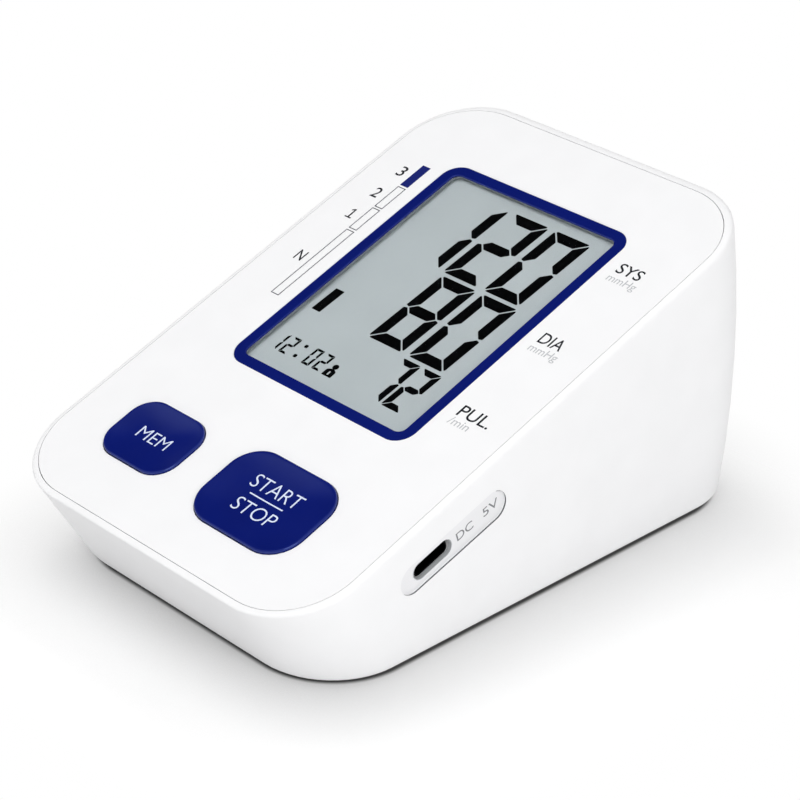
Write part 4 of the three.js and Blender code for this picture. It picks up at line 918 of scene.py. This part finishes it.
def words(text, low, high, weight=0.0, descends=False):
    """Letters scaled so that the ink fills the box from low to high. A capital is a
    known share of its font's size, so where letters descend the baseline is the box's
    low edge and that height reaches the high one. The weight moves the edges out."""
    curve = bpy.data.curves.new("letters", "FONT")
    curve.body = text
    curve.offset = weight
    curve.extrude = LETTER_DEPTH
    curve.resolution_u = LETTER_STEPS
    holder = bpy.data.objects.new("letters", curve)
    scene.collection.objects.link(holder)
    flat = bpy.data.meshes.new_from_object(
        holder.evaluated_get(bpy.context.evaluated_depsgraph_get()))
    weld = bmesh.new()
    weld.from_mesh(flat)
    bmesh.ops.remove_doubles(weld, verts=weld.verts, dist=SAME_LETTER_CORNER)
    weld.to_mesh(flat)
    weld.free()
    points = np.empty(3 * len(flat.vertices))
    flat.vertices.foreach_get("co", points)
    points = points.reshape(-1, 3)
    faces = [list(face.vertices) for face in flat.polygons]
    ink_low, ink_high = points.min(axis=0), points.max(axis=0)
    if descends:
        ink_low[1], ink_high[1] = 0, CAPITAL_SHARE
    share = (points[:, :2] - ink_low[:2]) / (ink_high[:2] - ink_low[:2])
    placed = np.asarray(low) + share * (np.asarray(high) - np.asarray(low))
    height = np.sign(points[:, 2]) * INK_THICKNESS / 2
    bpy.data.objects.remove(holder)
    bpy.data.curves.remove(curve)
    bpy.data.meshes.remove(flat)
    return at_height(placed, height), faces


# %% Print laid on a surface
INK_PROUD = 0.3 * INK_THICKNESS


def print_piece(name, shapes, body, ink, lie=lambda flat: 0.0, place=on_panel):
    """Shapes laid on a surface as one printed piece: lie gives the surface's height at
    each flat place, and place takes the result to metres. The ink's middle stands less
    than half its thickness proud, so its underside is sunk and no light gets under."""
    points, faces = together(shapes)
    points[:, 2] += lie(points[:, :2]) + INK_PROUD
    new_piece(name, place(points), faces, body, [ink], sharp_over=30)


# %% [markdown]
# ## Marks on the battery door
#
# Moulded low on the door are an arrow to the finger recess at its tab and three ridges
# for the thumb. They could be bumps in the plastic's material, but a bump has no edge
# seen from the side, so they are blocks under half a millimetre high with a sloped edge.
# They stay clear of the table, because the feet stand further out.

# %% Low blocks
MARK_HEIGHT = 0.4
MARK_SUNK = 0.05
MARK_TOP_SHARE = 0.94
DOOR_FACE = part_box("battery_door")[0].z / MM


def on_door(points):
    """Rows of (u, v, height) in millimetres to metres on the door's lower face: v runs
    to the front, and the height goes down from the face."""
    return (points * (1, -1, -1) + (0, 0, DOOR_FACE)) * MM


def raised_mark(outline):
    """A low block: a ring sunk into the face, one most of the way up, and one on top
    that is drawn in a little towards the middle."""
    middle = outline.mean(axis=0)
    section = ((1, -MARK_SUNK), (1, 0.6 * MARK_HEIGHT), (MARK_TOP_SHARE, MARK_HEIGHT))
    rings = [at_height(middle + (outline - middle) * share, height)
             for share, height in section]
    return join_rings(np.stack(rings), is_loop=False)


print("door's lower face:", round(DOOR_FACE, 2), "mm")

# %% Arrow and ridges on the door
ARROW = [(-3, 14), (3, 14), (0, 18.3)]
RIDGE_SIZE, RIDGE_RADIUS, RIDGES_AT = (16, 0.9), 0.44, (4, 6.5, 9)
marks = [raised_mark(soften(ARROW, 0.5))]
marks += [raised_mark(rounded_outline(*RIDGE_SIZE, RIDGE_RADIUS) + (0, v))
          for v in RIDGES_AT]
points, faces = together(marks)
new_piece("door_marks", on_door(points), faces, "battery_door",
          [satin_white_abs], sharp_over=30)

# %% [markdown]
# ## Print on the panel
#
# To the right of the display stand the three readings' names, dark, each over its unit
# in pale grey. To the left is a scale of four bars for the blood pressure class: the
# top one is solid blue and the rest are outlines, with N, 1, 2 and 3 beside them.

# %% Panel print
FULL_STROKE = 0.004
dark_words = [
    words("SYS", (28.2, 103.7), (34.3, 106.65), FULL_STROKE),
    words("DIA", (28.3, 80.4), (34.1, 83.35), FULL_STROKE),
    words("PUL.", (28.4, 57.0), (36.5, 60.0), FULL_STROKE),
]
print_piece("reading_names", dark_words, "case", charcoal_ink)
unit_words = [
    words("mmHg", (28.1, 101.1), (35.3, 103.0), descends=True),
    words("mmHg", (28.1, 77.8), (35.3, 79.7), descends=True),
    words("/min", (28.3, 54.6), (33.4, 56.5), descends=True),
]
print_piece("reading_units", unit_words, "case", pale_grey_ink)

# %% [markdown]
# The font's 1 is a plain upright bar, so that numeral is two polygons: a stroke with its
# flag, and a foot.

# %% Scale of four bars
BAR_LEFT, BAR_RIGHT = -31.2, -28.9
BAR_LINE = 0.22
PRINTED_CORNER = 0.02
open_bars = [hollow_bar((BAR_LEFT, low), (BAR_RIGHT, high), BAR_LINE)
             for low, high in ((63.5, 86.1), (86.6, 93.95), (94.4, 101.8))]
print_piece("scale_open_bars", open_bars, "case", outline_ink)
solid_bar = soften(rectangle((BAR_LEFT, 102.3), (BAR_RIGHT, 109.55)), 0.08)
print_piece("scale_solid_bar", [slab(solid_bar)], "case", blue_ink)
one_stroke = [(-34.07, 88.8), (-33.68, 88.8), (-33.68, 91.7), (-34.0, 91.7),
              (-34.65, 91.3), (-34.65, 90.95), (-34.07, 91.27)]
one_foot = rectangle((-34.75, 88.8), (-33.0, 89.13))
numerals = [words("N", (-35.0, 73.55), (-32.9, 76.5), FULL_STROKE),
            words("2", (-34.85, 96.45), (-33.0, 99.5), FULL_STROKE),
            words("3", (-34.85, 104.3), (-33.05, 107.4), FULL_STROKE),
            slab(soften(one_stroke, PRINTED_CORNER)),
            slab(soften(one_foot, PRINTED_CORNER))]
print_piece("scale_numerals", numerals, "case", charcoal_ink)

# %% [markdown]
# ## Print on the buttons
#
# The words on the caps are white. They lie in the dish, so each cap's own height
# function carries them, and they ride on their button, because they move with it.

# %% Button print
THIN_STROKE = -0.01
LINE_FROM, LINE_TO, LINE_V, LINE_WIDTH = 8.45, 17.65, 20.55, 0.3
LINE_POINTS = 24
between_words = np.column_stack([np.linspace(LINE_FROM, LINE_TO, LINE_POINTS),
                                 np.full(LINE_POINTS, LINE_V)])
print_piece("start_stop_words", [
    words("START", (6.55, 21.9), (19.65, 25.2), THIN_STROKE),
    ribbon(between_words, LINE_WIDTH),
    words("STOP", (7.6, 15.75), (18.6, 19.05), THIN_STROKE),
], "start_stop_button", white_ink, lie=start_cap.height)
print_piece("memory_words", [words("MEM", (-24.2, 19.0), (-15.5, 21.95), THIN_STROKE)],
            "memory_button", white_ink, lie=memory_cap.height)

# %% [markdown]
# ## Display segments
#
# A liquid crystal digit has seven segments with mitred ends and a thin gap between
# them, and its outer corners are rounded. One segment of each kind is a polygon in a
# cell of the digit's width and height, and the other four are its mirror images. The
# digits lean a little, which moves each point sideways by a share of its height.

# %% Seven segments
SEGMENTS_LIT = {"0": "abcdef", "1": "bc", "2": "abged", "7": "abc", "8": "abcdefg"}
LEAN = 0.042
GAP_SHARE = 0.085
TIP_SHARE_OF_THICK = 0.45
FOOT_GAPS = 0.7


def segment_shapes(width, height, thick):
    """The seven polygons by letter. With a gap g, the top is cut along x + y = height +
    g, the upper left along x + y = height - g, and where the upper left meets the
    middle both are cut at 45 degrees, 1.4 gaps apart. The outer corners are softened
    by 0.3 of the thickness, and the others by less than a tenth."""
    gap = GAP_SHARE * thick
    middle = height / 2
    tip = TIP_SHARE_OF_THICK * thick
    foot = middle + FOOT_GAPS * gap
    top = soften([(thick + gap, height - thick), (width - thick - gap, height - thick),
                  (width - gap, height), (gap, height)],
                 np.array([0.06, 0.06, 0.3, 0.3]) * thick)
    left = soften([(tip - 2 * gap + foot - middle, foot),
                   (thick, middle + thick - tip + 2 * gap), (thick, height - thick - gap),
                   (0, height - gap), (0, foot + 0.1 * thick)],
                  np.array([0.08, 0.06, 0.06, 0.3, 0.08]) * thick)
    bar = soften([(tip, middle), (tip + thick / 2, middle - thick / 2),
                  (width - tip - thick / 2, middle - thick / 2), (width - tip, middle),
                  (width - tip - thick / 2, middle + thick / 2),
                  (tip + thick / 2, middle + thick / 2)], 0.06 * thick)

    def over(shape):
        """Upside down, with the points taken backwards to stay counter-clockwise."""
        return ((0, height) + shape * (1, -1))[::-1]

    def across(shape):
        """Left side right, backwards too."""
        return ((width, 0) + shape * (-1, 1))[::-1]

    return {"a": top, "d": over(top), "g": bar, "f": left, "e": over(left),
            "b": across(left), "c": across(over(left))}


def digit(number, left, low, width, height, thick):
    """The lit segments of a number as slabs, from its cell's lower left corner, each
    point moved right by the lean times its height in the cell."""
    shapes = segment_shapes(width, height, thick)
    return [slab(shapes[letter] + (left, low)
                 + np.outer(shapes[letter][:, 1] * LEAN, (1, 0)))
            for letter in SEGMENTS_LIT[number]]


# %% [markdown]
# The readings are those of a healthy adult at rest: 120 over 80, with a pulse of 72. A
# clock stands lower left, and over it a short bar on the scale's level.

# %% Readings on the display
LARGE = {"width": 9.8, "height": 21.2, "thick": 2.6}
MEDIUM = {"width": 5.15, "height": 12.0, "thick": 1.54}
SMALL = {"width": 2.2, "height": 4.9, "thick": 0.6}
DOT_HALF = 0.45
DOT_PLACES = np.array([(-13.45, 56.4), (-13.55, 53.25)])
reading = []
for size, low, row in (
        (LARGE, 87.25, (("1", -15.7), ("2", -4.45), ("0", 7.0))),
        (LARGE, 65.15, (("8", -4.5), ("0", 6.95))),
        (MEDIUM, 52.25, (("7", 6.2), ("2", 12.0))),
        (SMALL, 52.4, (("1", -20.95), ("2", -17.9), ("0", -11.15), ("2", -8.1)))):
    for number, left in row:
        reading += digit(number, left, low, **size)
dots = [soften(rectangle(place - DOT_HALF, place + DOT_HALF), 0.3) for place in DOT_PLACES]
level_bar = soften([(-21.1, 65.2), (-18.65, 65.2), (-18.35, 72.3), (-20.8, 72.3)], 0.12)
reading += [slab(dot) for dot in dots] + [slab(level_bar)]
print("lit shapes on the display:", len(reading))

# %% [markdown]
# A small figure stands after the clock and says whose readings these are. It is a round
# head over rounded shoulders, as any such sign is, with a pale bar left out of the body.

# %% User sign
HEAD_MIDDLE, HEAD_SIZE = (-3.55, 55.15), 0.72
turn_round = np.linspace(0, 2 * np.pi, 24, endpoint=False)
head = HEAD_MIDDLE + HEAD_SIZE * np.column_stack([np.cos(turn_round), np.sin(turn_round)])
shoulders = soften([(-4.9, 52.25), (-2.35, 52.25), (-2.35, 54.0), (-3.1, 54.45),
                    (-4.0, 54.45), (-4.9, 54.0)], [0.15, 0.15, 0.4, 0.2, 0.2, 0.4])
reading += [slab(head), slab(shoulders)]
LCD_TOP = panel_reach("lcd_glass")[1][2]
print_piece("display_segments", reading, "case", lcd_ink,
            lie=lambda flat: LCD_TOP)
sign_mark = slab(rectangle((-3.8, 52.7), (-3.45, 53.7)))
print_piece("display_sign_mark", [sign_mark], "case", lcd_polariser,
            lie=lambda flat: LCD_TOP + INK_THICKNESS)

# %% [markdown]
# ## The charging port
#
# The socket sits in a shallow stadium in the right wall. Places there are measured
# along the slope and across it from the stadium's middle, and out of the wall, which
# leans a little. The marking beside the slot is plain grey, and a thin dark line runs
# where the stadium's floor meets its lower edge and far end: a painted shadow, which
# stands for the shade at the recess's edge.

# %% Port coordinates
PORT_MIDDLE_V = 37.9
SLOT_MIDDLE_V = 32.6
PORT_BELOW_PANEL = 9.8
PORT_FACE_X = 43.2914
PORT_LEAN = 0.04333
PORT_FLOOR = -0.5
HAIR = 0.01


def on_wall(points, middle_v, lean):
    """Rows of (along, across, out) in millimetres to metres: turned by the panel's
    slope in the wall's plane, tipped by the lean, and set on the wall's face at the
    place that is middle_v up the slope and a fixed way below the panel."""
    along, across, out = points.T
    y = along * math.cos(PANEL_SLOPE) - across * math.sin(PANEL_SLOPE)
    z = along * math.sin(PANEL_SLOPE) + across * math.cos(PANEL_SLOPE)
    placed = np.stack([out * math.cos(lean) + z * math.sin(lean), y,
                       z * math.cos(lean) - out * math.sin(lean)], axis=1)
    middle = on_panel(np.array([0, middle_v, -PORT_BELOW_PANEL])) / MM
    return (placed + [PORT_FACE_X, middle[1], middle[2]]) * MM


def on_port(points):
    """On the stadium, which follows the wall's lean."""
    return on_wall(points, PORT_MIDDLE_V, PORT_LEAN)


print("port's middle:", on_port(np.zeros((1, 3))).round(5))

# %% Port marking
print_piece("port_words", [words("DC", (1.2, -1.05), (5.6, 0.95)),
                           words("5V", (8.4, -0.95), (12.5, 1.05))],
            "case", port_ink, lie=lambda flat: PORT_FLOOR + HAIR,
            place=on_port)

# %% [markdown]
# The slot is lined with a soft grey lip that runs from the stadium's floor down to the
# socket, and whose inner edge is what we see at the slot's lower side and far end. It
# is a ring with the slot's outline, a little inside the hole, and unlike the stadium it
# goes straight in. A thin satin film covers the stadium's floor round it, joined from
# the slot's outline out to the stadium's.

# %% Lip and film
SLOT_LENGTH, SLOT_WIDTH = 10.4, 3.9
LIP_GAP, LIP_THICK = 0.02, 0.12
LIP_TOP, LIP_BOTTOM = PORT_FLOOR - 0.03, -1.38
PORT_LENGTH, PORT_WIDTH = 28.4, 6.8
FILM_GAP = 0.05


def stadium(length, width, inset):
    """A slot's outline drawn in by the inset, its ends round but for a hair."""
    return rounded_outline(length - 2 * inset, width - 2 * inset, width / 2 - HAIR - inset)


lip_outer, lip_inner = (stadium(SLOT_LENGTH, SLOT_WIDTH, inset)
                        for inset in (LIP_GAP, LIP_GAP + LIP_THICK))
points, faces = join_rings(np.stack([at_height(*place) for place in (
    (lip_outer, LIP_BOTTOM), (lip_outer, LIP_TOP), (lip_inner, LIP_TOP),
    (lip_inner, LIP_BOTTOM))]), is_loop=True)
new_piece("port_lip", on_wall(points, SLOT_MIDDLE_V, 0.0), faces, "case",
          [soft_grey_tpe], sharp_over=30)
hole = rounded_outline(SLOT_LENGTH + 2 * FILM_GAP, SLOT_WIDTH + 2 * FILM_GAP,
                       SLOT_WIDTH / 2) + (SLOT_MIDDLE_V - PORT_MIDDLE_V, 0)
film_edge = stadium(PORT_LENGTH, PORT_WIDTH, FILM_GAP)
points, faces = join_rings(np.stack([at_height(flat, PORT_FLOOR + out) for flat, out in (
    (film_edge, -HAIR), (film_edge, HAIR), (hole, HAIR), (hole, -HAIR))]), is_loop=True)
new_piece("port_film", on_port(points), faces, "case", [pale_satin_film],
          sharp_over=30)

# %% [markdown]
# The thin dark line is a painted shadow: a dark grey strip on the stadium's wall, just
# under its rim, where the recess's edge is in shade. It takes only the points of the
# outline along the lower edge and round the far end, and it gets shallower towards both
# of its ends. Each place along it has a ring of four points, as a printed line has.

# %% Shadow line round the port
LINE_DEEP = 0.3
LINE_OUTER, LINE_INNER = 0.005, 0.03
FADE_FROM, FADE_TO, FADE_POWER = 0.06, 0.97, 0.35
quarter_points = CORNER_STEPS + SIDE_STEPS
order = np.r_[2 * quarter_points + 5:4 * quarter_points, 0:12]
fade = np.sin(np.linspace(FADE_FROM, FADE_TO, len(order)) * np.pi) ** FADE_POWER
outer, inner = (stadium(PORT_LENGTH, PORT_WIDTH, inset)[order]
                for inset in (LINE_OUTER, LINE_INNER))
deep = -HAIR - LINE_DEEP * fade
line_rings = [at_height(*place) for place in (
    (inner, deep), (inner, -HAIR), (outer, -HAIR), (outer, deep))]
points, faces = join_rings(np.stack(line_rings, axis=1), is_loop=False)
new_piece("port_shadow_line", on_port(points), faces, "case", [painted_shadow_grey],
          sharp_over=30)

# %% [markdown]
# ## Light and floor
#
# Product photographs on white are lit through a wide white tent by large soft boxes,
# which leaves soft shading and a thin dark line where the object meets the table. A
# white world is the tent. One soft box stands high on the left and lights the panel, and
# one stands lower on the right for the side wall.
#
# The floor is a sheet of white paper with an opening under the case. One more face
# fills the opening, so that it can have a material of its own.

# %% Floor
FLOOR_WIDTH = 6000
OPENING_SIZE = (75, 115.6)
OPENING_MIDDLE = (0, 5.3)
OPENING_RADIUS = 15
far_edge = rounded_outline(FLOOR_WIDTH, FLOOR_WIDTH, OPENING_RADIUS)
opening = rounded_outline(*OPENING_SIZE, OPENING_RADIUS) + OPENING_MIDDLE
points, faces = join_rings(np.stack([at_height(ring, 0) for ring in (far_edge, opening)]),
                           is_loop=False)
floor_mesh = bpy.data.meshes.new("floor")
floor_mesh.from_pydata((points * MM).tolist(), [], faces[:len(opening)] + faces[-1:])
floor = bpy.data.objects.new("floor", floor_mesh)
scene.collection.objects.link(floor)
print("floor:", FLOOR_WIDTH * MM, "m wide,", len(floor_mesh.polygons), "faces")

# %% [markdown]
# What the camera sees of the paper is a shade between zero and one. It is darker where
# the object is close on the side away from the light, which ambient occlusion along a
# slanted normal gives. It is darkest in the first millimetre round the base, which is a
# distance from the base's rounded outline. Both shades are multiplied. Places in these
# nodes are in metres, as the floor's own coordinates are.

# %% Shade on the paper
SHADOW_SIDE = (-0.45, 0.55, 0.70)
SHADOW_REACH = 0.025
SHADOW_DARKEST = 0.64
BASE_MIDDLE = (0, 0.0053, 0)
BASE_RADIUS = 0.017
BASE_CORE = (0.0223, 0.0426, 0)
CONTACT_FROM, CONTACT_TO, CONTACT_DARKEST = 0.0004, 0.0017, 0.1
paper = with_empty_tree(bpy.data.materials.new("white_backdrop_paper"))
shade_around = add_node(paper, "ShaderNodeAmbientOcclusion", {"samples": 4},
                        {"Distance": SHADOW_REACH, "Normal": SHADOW_SIDE})
floor_place = add_node(paper, "ShaderNodeTexCoord").outputs["Object"]


def beyond_box(middle, half):
    """How far the floor's points lie outside a box about a middle: the length of what
    is left of their offset, taken positive, once the box's half size is off it."""
    value = floor_place
    for operation, other in (("SUBTRACT", middle), ("ABSOLUTE", None), ("SUBTRACT", half),
                             ("MAXIMUM", (0, 0, 0)), ("LENGTH", None)):
        step = add_node(paper, "ShaderNodeVectorMath", {"operation": operation},
                        {0: value} if other is None else {0: value, 1: other})
        value = step.outputs["Value" if operation == "LENGTH" else "Vector"]
    return value


def eased(value, start, end, low, high):
    """From low to high along an S curve while the value goes from start to end."""
    return add_node(paper, "ShaderNodeMapRange", {"interpolation_type": "SMOOTHSTEP"}, {
        "Value": value, "From Min": start, "From Max": end, "To Min": low,
        "To Max": high}).outputs["Result"]


contact = eased(beyond_box(BASE_MIDDLE, BASE_CORE), BASE_RADIUS + CONTACT_FROM,
                BASE_RADIUS + CONTACT_TO, CONTACT_DARKEST, 1.0)
both = add_node(paper, "ShaderNodeMath", {"operation": "MULTIPLY"}, {
    0: between(paper, shade_around.outputs["AO"], SHADOW_DARKEST, 1.0),
    1: contact}).outputs[0]
print("contact shade ends", 1000 * CONTACT_TO, "mm from the base")

# %% [markdown]
# To the camera the paper is partly lit and partly its own white: a fifth its own near
# the object, and all of it three centimetres out, so the background turns white while
# the shadow stays. What it bounces onto the object is the light of plain paper. From
# below it is clear to the camera, so that the underside can be looked at.

# %% White paper
PAPER_COLOUR = "#E6E6E6"
LIT_MIDDLE = (0.018, -0.014, 0)
LIT_HALF = (0.041, 0.06, 0)
WHITE_NEAR, WHITE_BEYOND = 0.2, 0.03
whiter = eased(beyond_box(LIT_MIDDLE, LIT_HALF), 0.0, WHITE_BEYOND, WHITE_NEAR, 1.0)
bounce = add_node(paper, "ShaderNodeBsdfDiffuse", inputs={"Color": linear(PAPER_COLOUR)})
seen = add_node(paper, "ShaderNodeBsdfDiffuse", inputs={"Color": both})
own_white = add_node(paper, "ShaderNodeEmission", inputs={"Color": both})
seen_lit = add_node(paper, "ShaderNodeMixShader", inputs={0: whiter})
ray = add_node(paper, "ShaderNodeLightPath")
mirrored = add_node(paper, "ShaderNodeMath", {"operation": "MAXIMUM"}, {
    0: ray.outputs["Is Glossy Ray"], 1: ray.outputs["Is Transmission Ray"]})
shown = add_node(paper, "ShaderNodeMath", {"operation": "MAXIMUM"}, {
    0: ray.outputs["Is Camera Ray"], 1: mirrored.outputs[0]})
chosen = add_node(paper, "ShaderNodeMixShader", inputs={0: shown.outputs[0]})
from_below = add_node(paper, "ShaderNodeMath", {"operation": "MULTIPLY"}, {
    0: add_node(paper, "ShaderNodeNewGeometry").outputs["Backfacing"],
    1: ray.outputs["Is Camera Ray"]})
one_sided = add_node(paper, "ShaderNodeMixShader", inputs={0: from_below.outputs[0]})
clear = add_node(paper, "ShaderNodeBsdfTransparent")
output = add_node(paper, "ShaderNodeOutputMaterial")
link_all(paper.node_tree, (
    (seen.outputs[0], seen_lit.inputs[1]), (own_white.outputs[0], seen_lit.inputs[2]),
    (bounce.outputs[0], chosen.inputs[1]), (seen_lit.outputs[0], chosen.inputs[2]),
    (chosen.outputs[0], one_sided.inputs[1]), (clear.outputs[0], one_sided.inputs[2]),
    (one_sided.outputs[0], output.inputs["Surface"])))
floor_mesh.materials.append(paper)
print("paper nodes:", len(paper.node_tree.nodes))

# %% [markdown]
# Under the case no light would reach a closed floor, and the underside would be black in
# a view from below. So the face in the opening lets all light through, and only the
# camera, looking in from above at a low angle, sees it as a dark shade.

# %% Floor under the case
SHADE_COLOUR = "#303030"
shade = with_empty_tree(bpy.data.materials.new("shade_under_case"))
seen_from_above = add_node(
    shade, "ShaderNodeMath", {"operation": "SUBTRACT", "use_clamp": True}, {
        0: add_node(shade, "ShaderNodeLightPath").outputs["Is Camera Ray"],
        1: add_node(shade, "ShaderNodeNewGeometry").outputs["Backfacing"]})
dark = add_node(shade, "ShaderNodeBsdfDiffuse", inputs={"Color": linear(SHADE_COLOUR)})
passing = add_node(shade, "ShaderNodeBsdfTransparent")
shade_or_clear = add_node(shade, "ShaderNodeMixShader", inputs={
    0: seen_from_above.outputs[0]})
shade_output = add_node(shade, "ShaderNodeOutputMaterial")
link_all(shade.node_tree, (
    (passing.outputs[0], shade_or_clear.inputs[1]),
    (dark.outputs[0], shade_or_clear.inputs[2]),
    (shade_or_clear.outputs[0], shade_output.inputs["Surface"])))
floor_mesh.materials.append(shade)
floor_mesh.polygons[-1].material_index = 1
print("shade under the case:", SHADE_COLOUR)

# %% [markdown]
# Glossy blue in an even white tent would look chalky. A photographer hangs a dark flag
# where the buttons and the window would mirror the tent, and they keep their colour.
# Here the tent's strength falls off round the direction of that flag, up on the left:
# the cosine of the angle to it, from one at its middle to nothing at its edge.

# %% World
WORLD_LIGHT = 0.52
FLAG_DARKEST = 0.03
FLAG_TOWARDS = (-0.64, 0.28, 0.715)
FLAG_INNER = math.cos(math.radians(12))
FLAG_OUTER = math.cos(math.radians(20))
world = with_empty_tree(bpy.data.worlds.new("white_tent"))
scene.world = world
sky_place = add_node(world, "ShaderNodeTexCoord").outputs["Generated"]
towards_flag = add_node(world, "ShaderNodeVectorMath", {"operation": "DOT_PRODUCT"},
                        {0: sky_place, 1: FLAG_TOWARDS})
tent_strength = add_node(
    world, "ShaderNodeMapRange", {"interpolation_type": "SMOOTHSTEP"}, {
        "Value": towards_flag.outputs["Value"], "From Min": FLAG_OUTER,
        "From Max": FLAG_INNER, "To Min": WORLD_LIGHT, "To Max": FLAG_DARKEST})
tent = add_node(world, "ShaderNodeBackground", inputs={
    "Color": WHITE, "Strength": tent_strength.outputs["Result"]})
behind = add_node(world, "ShaderNodeBackground", inputs={"Color": WHITE, "Strength": 1.0})
world_ray = add_node(world, "ShaderNodeLightPath")
world_pick = add_node(world, "ShaderNodeMixShader", inputs={
    0: world_ray.outputs["Is Camera Ray"]})
world_output = add_node(world, "ShaderNodeOutputWorld")
link_all(world.node_tree, (
    (tent.outputs[0], world_pick.inputs[1]), (behind.outputs[0], world_pick.inputs[2]),
    (world_pick.outputs[0], world_output.inputs["Surface"])))
print("tent strength:", WORLD_LIGHT, "and at the flag", FLAG_DARKEST)

# %% [markdown]
# Both soft boxes stand close to a metre from the object. The one on the left would show
# as a bright patch in the blue caps, so it lights them without being mirrored. The one
# on the right is mirrored, and gives the edges on that side their glint.

# %% Soft boxes
SOFT_BOX_DISTANCE = 0.9


def soft_box(name, azimuth, elevation, size, share, is_mirrored):
    """A square lamp of that size, which faces the object from those angles in degrees.
    Its power is the share of a white level, times pi squared and the distance squared.
    One that isn't mirrored lights the object, but no gloss shows it."""
    light = bpy.data.lights.new(name, "AREA")
    light.shape = "SQUARE"
    light.size = size
    light.energy = share * math.pi ** 2 * SOFT_BOX_DISTANCE ** 2
    lamp = bpy.data.objects.new(name, light)
    lamp.visible_glossy = is_mirrored
    scene.collection.objects.link(lamp)
    towards = direction(math.radians(azimuth), math.radians(elevation))
    lamp.matrix_world = Matrix.Translation(towards * SOFT_BOX_DISTANCE) @ \
        towards.to_track_quat("Z", "Y").to_matrix().to_4x4()
    print(name, round(light.energy, 2), "W")


soft_box("soft_box_left", -55, 70, 0.8, 0.42, False)
soft_box("soft_box_right", 66, 28, 0.6, 0.43, True)

scene.view_settings.view_transform = "Standard"
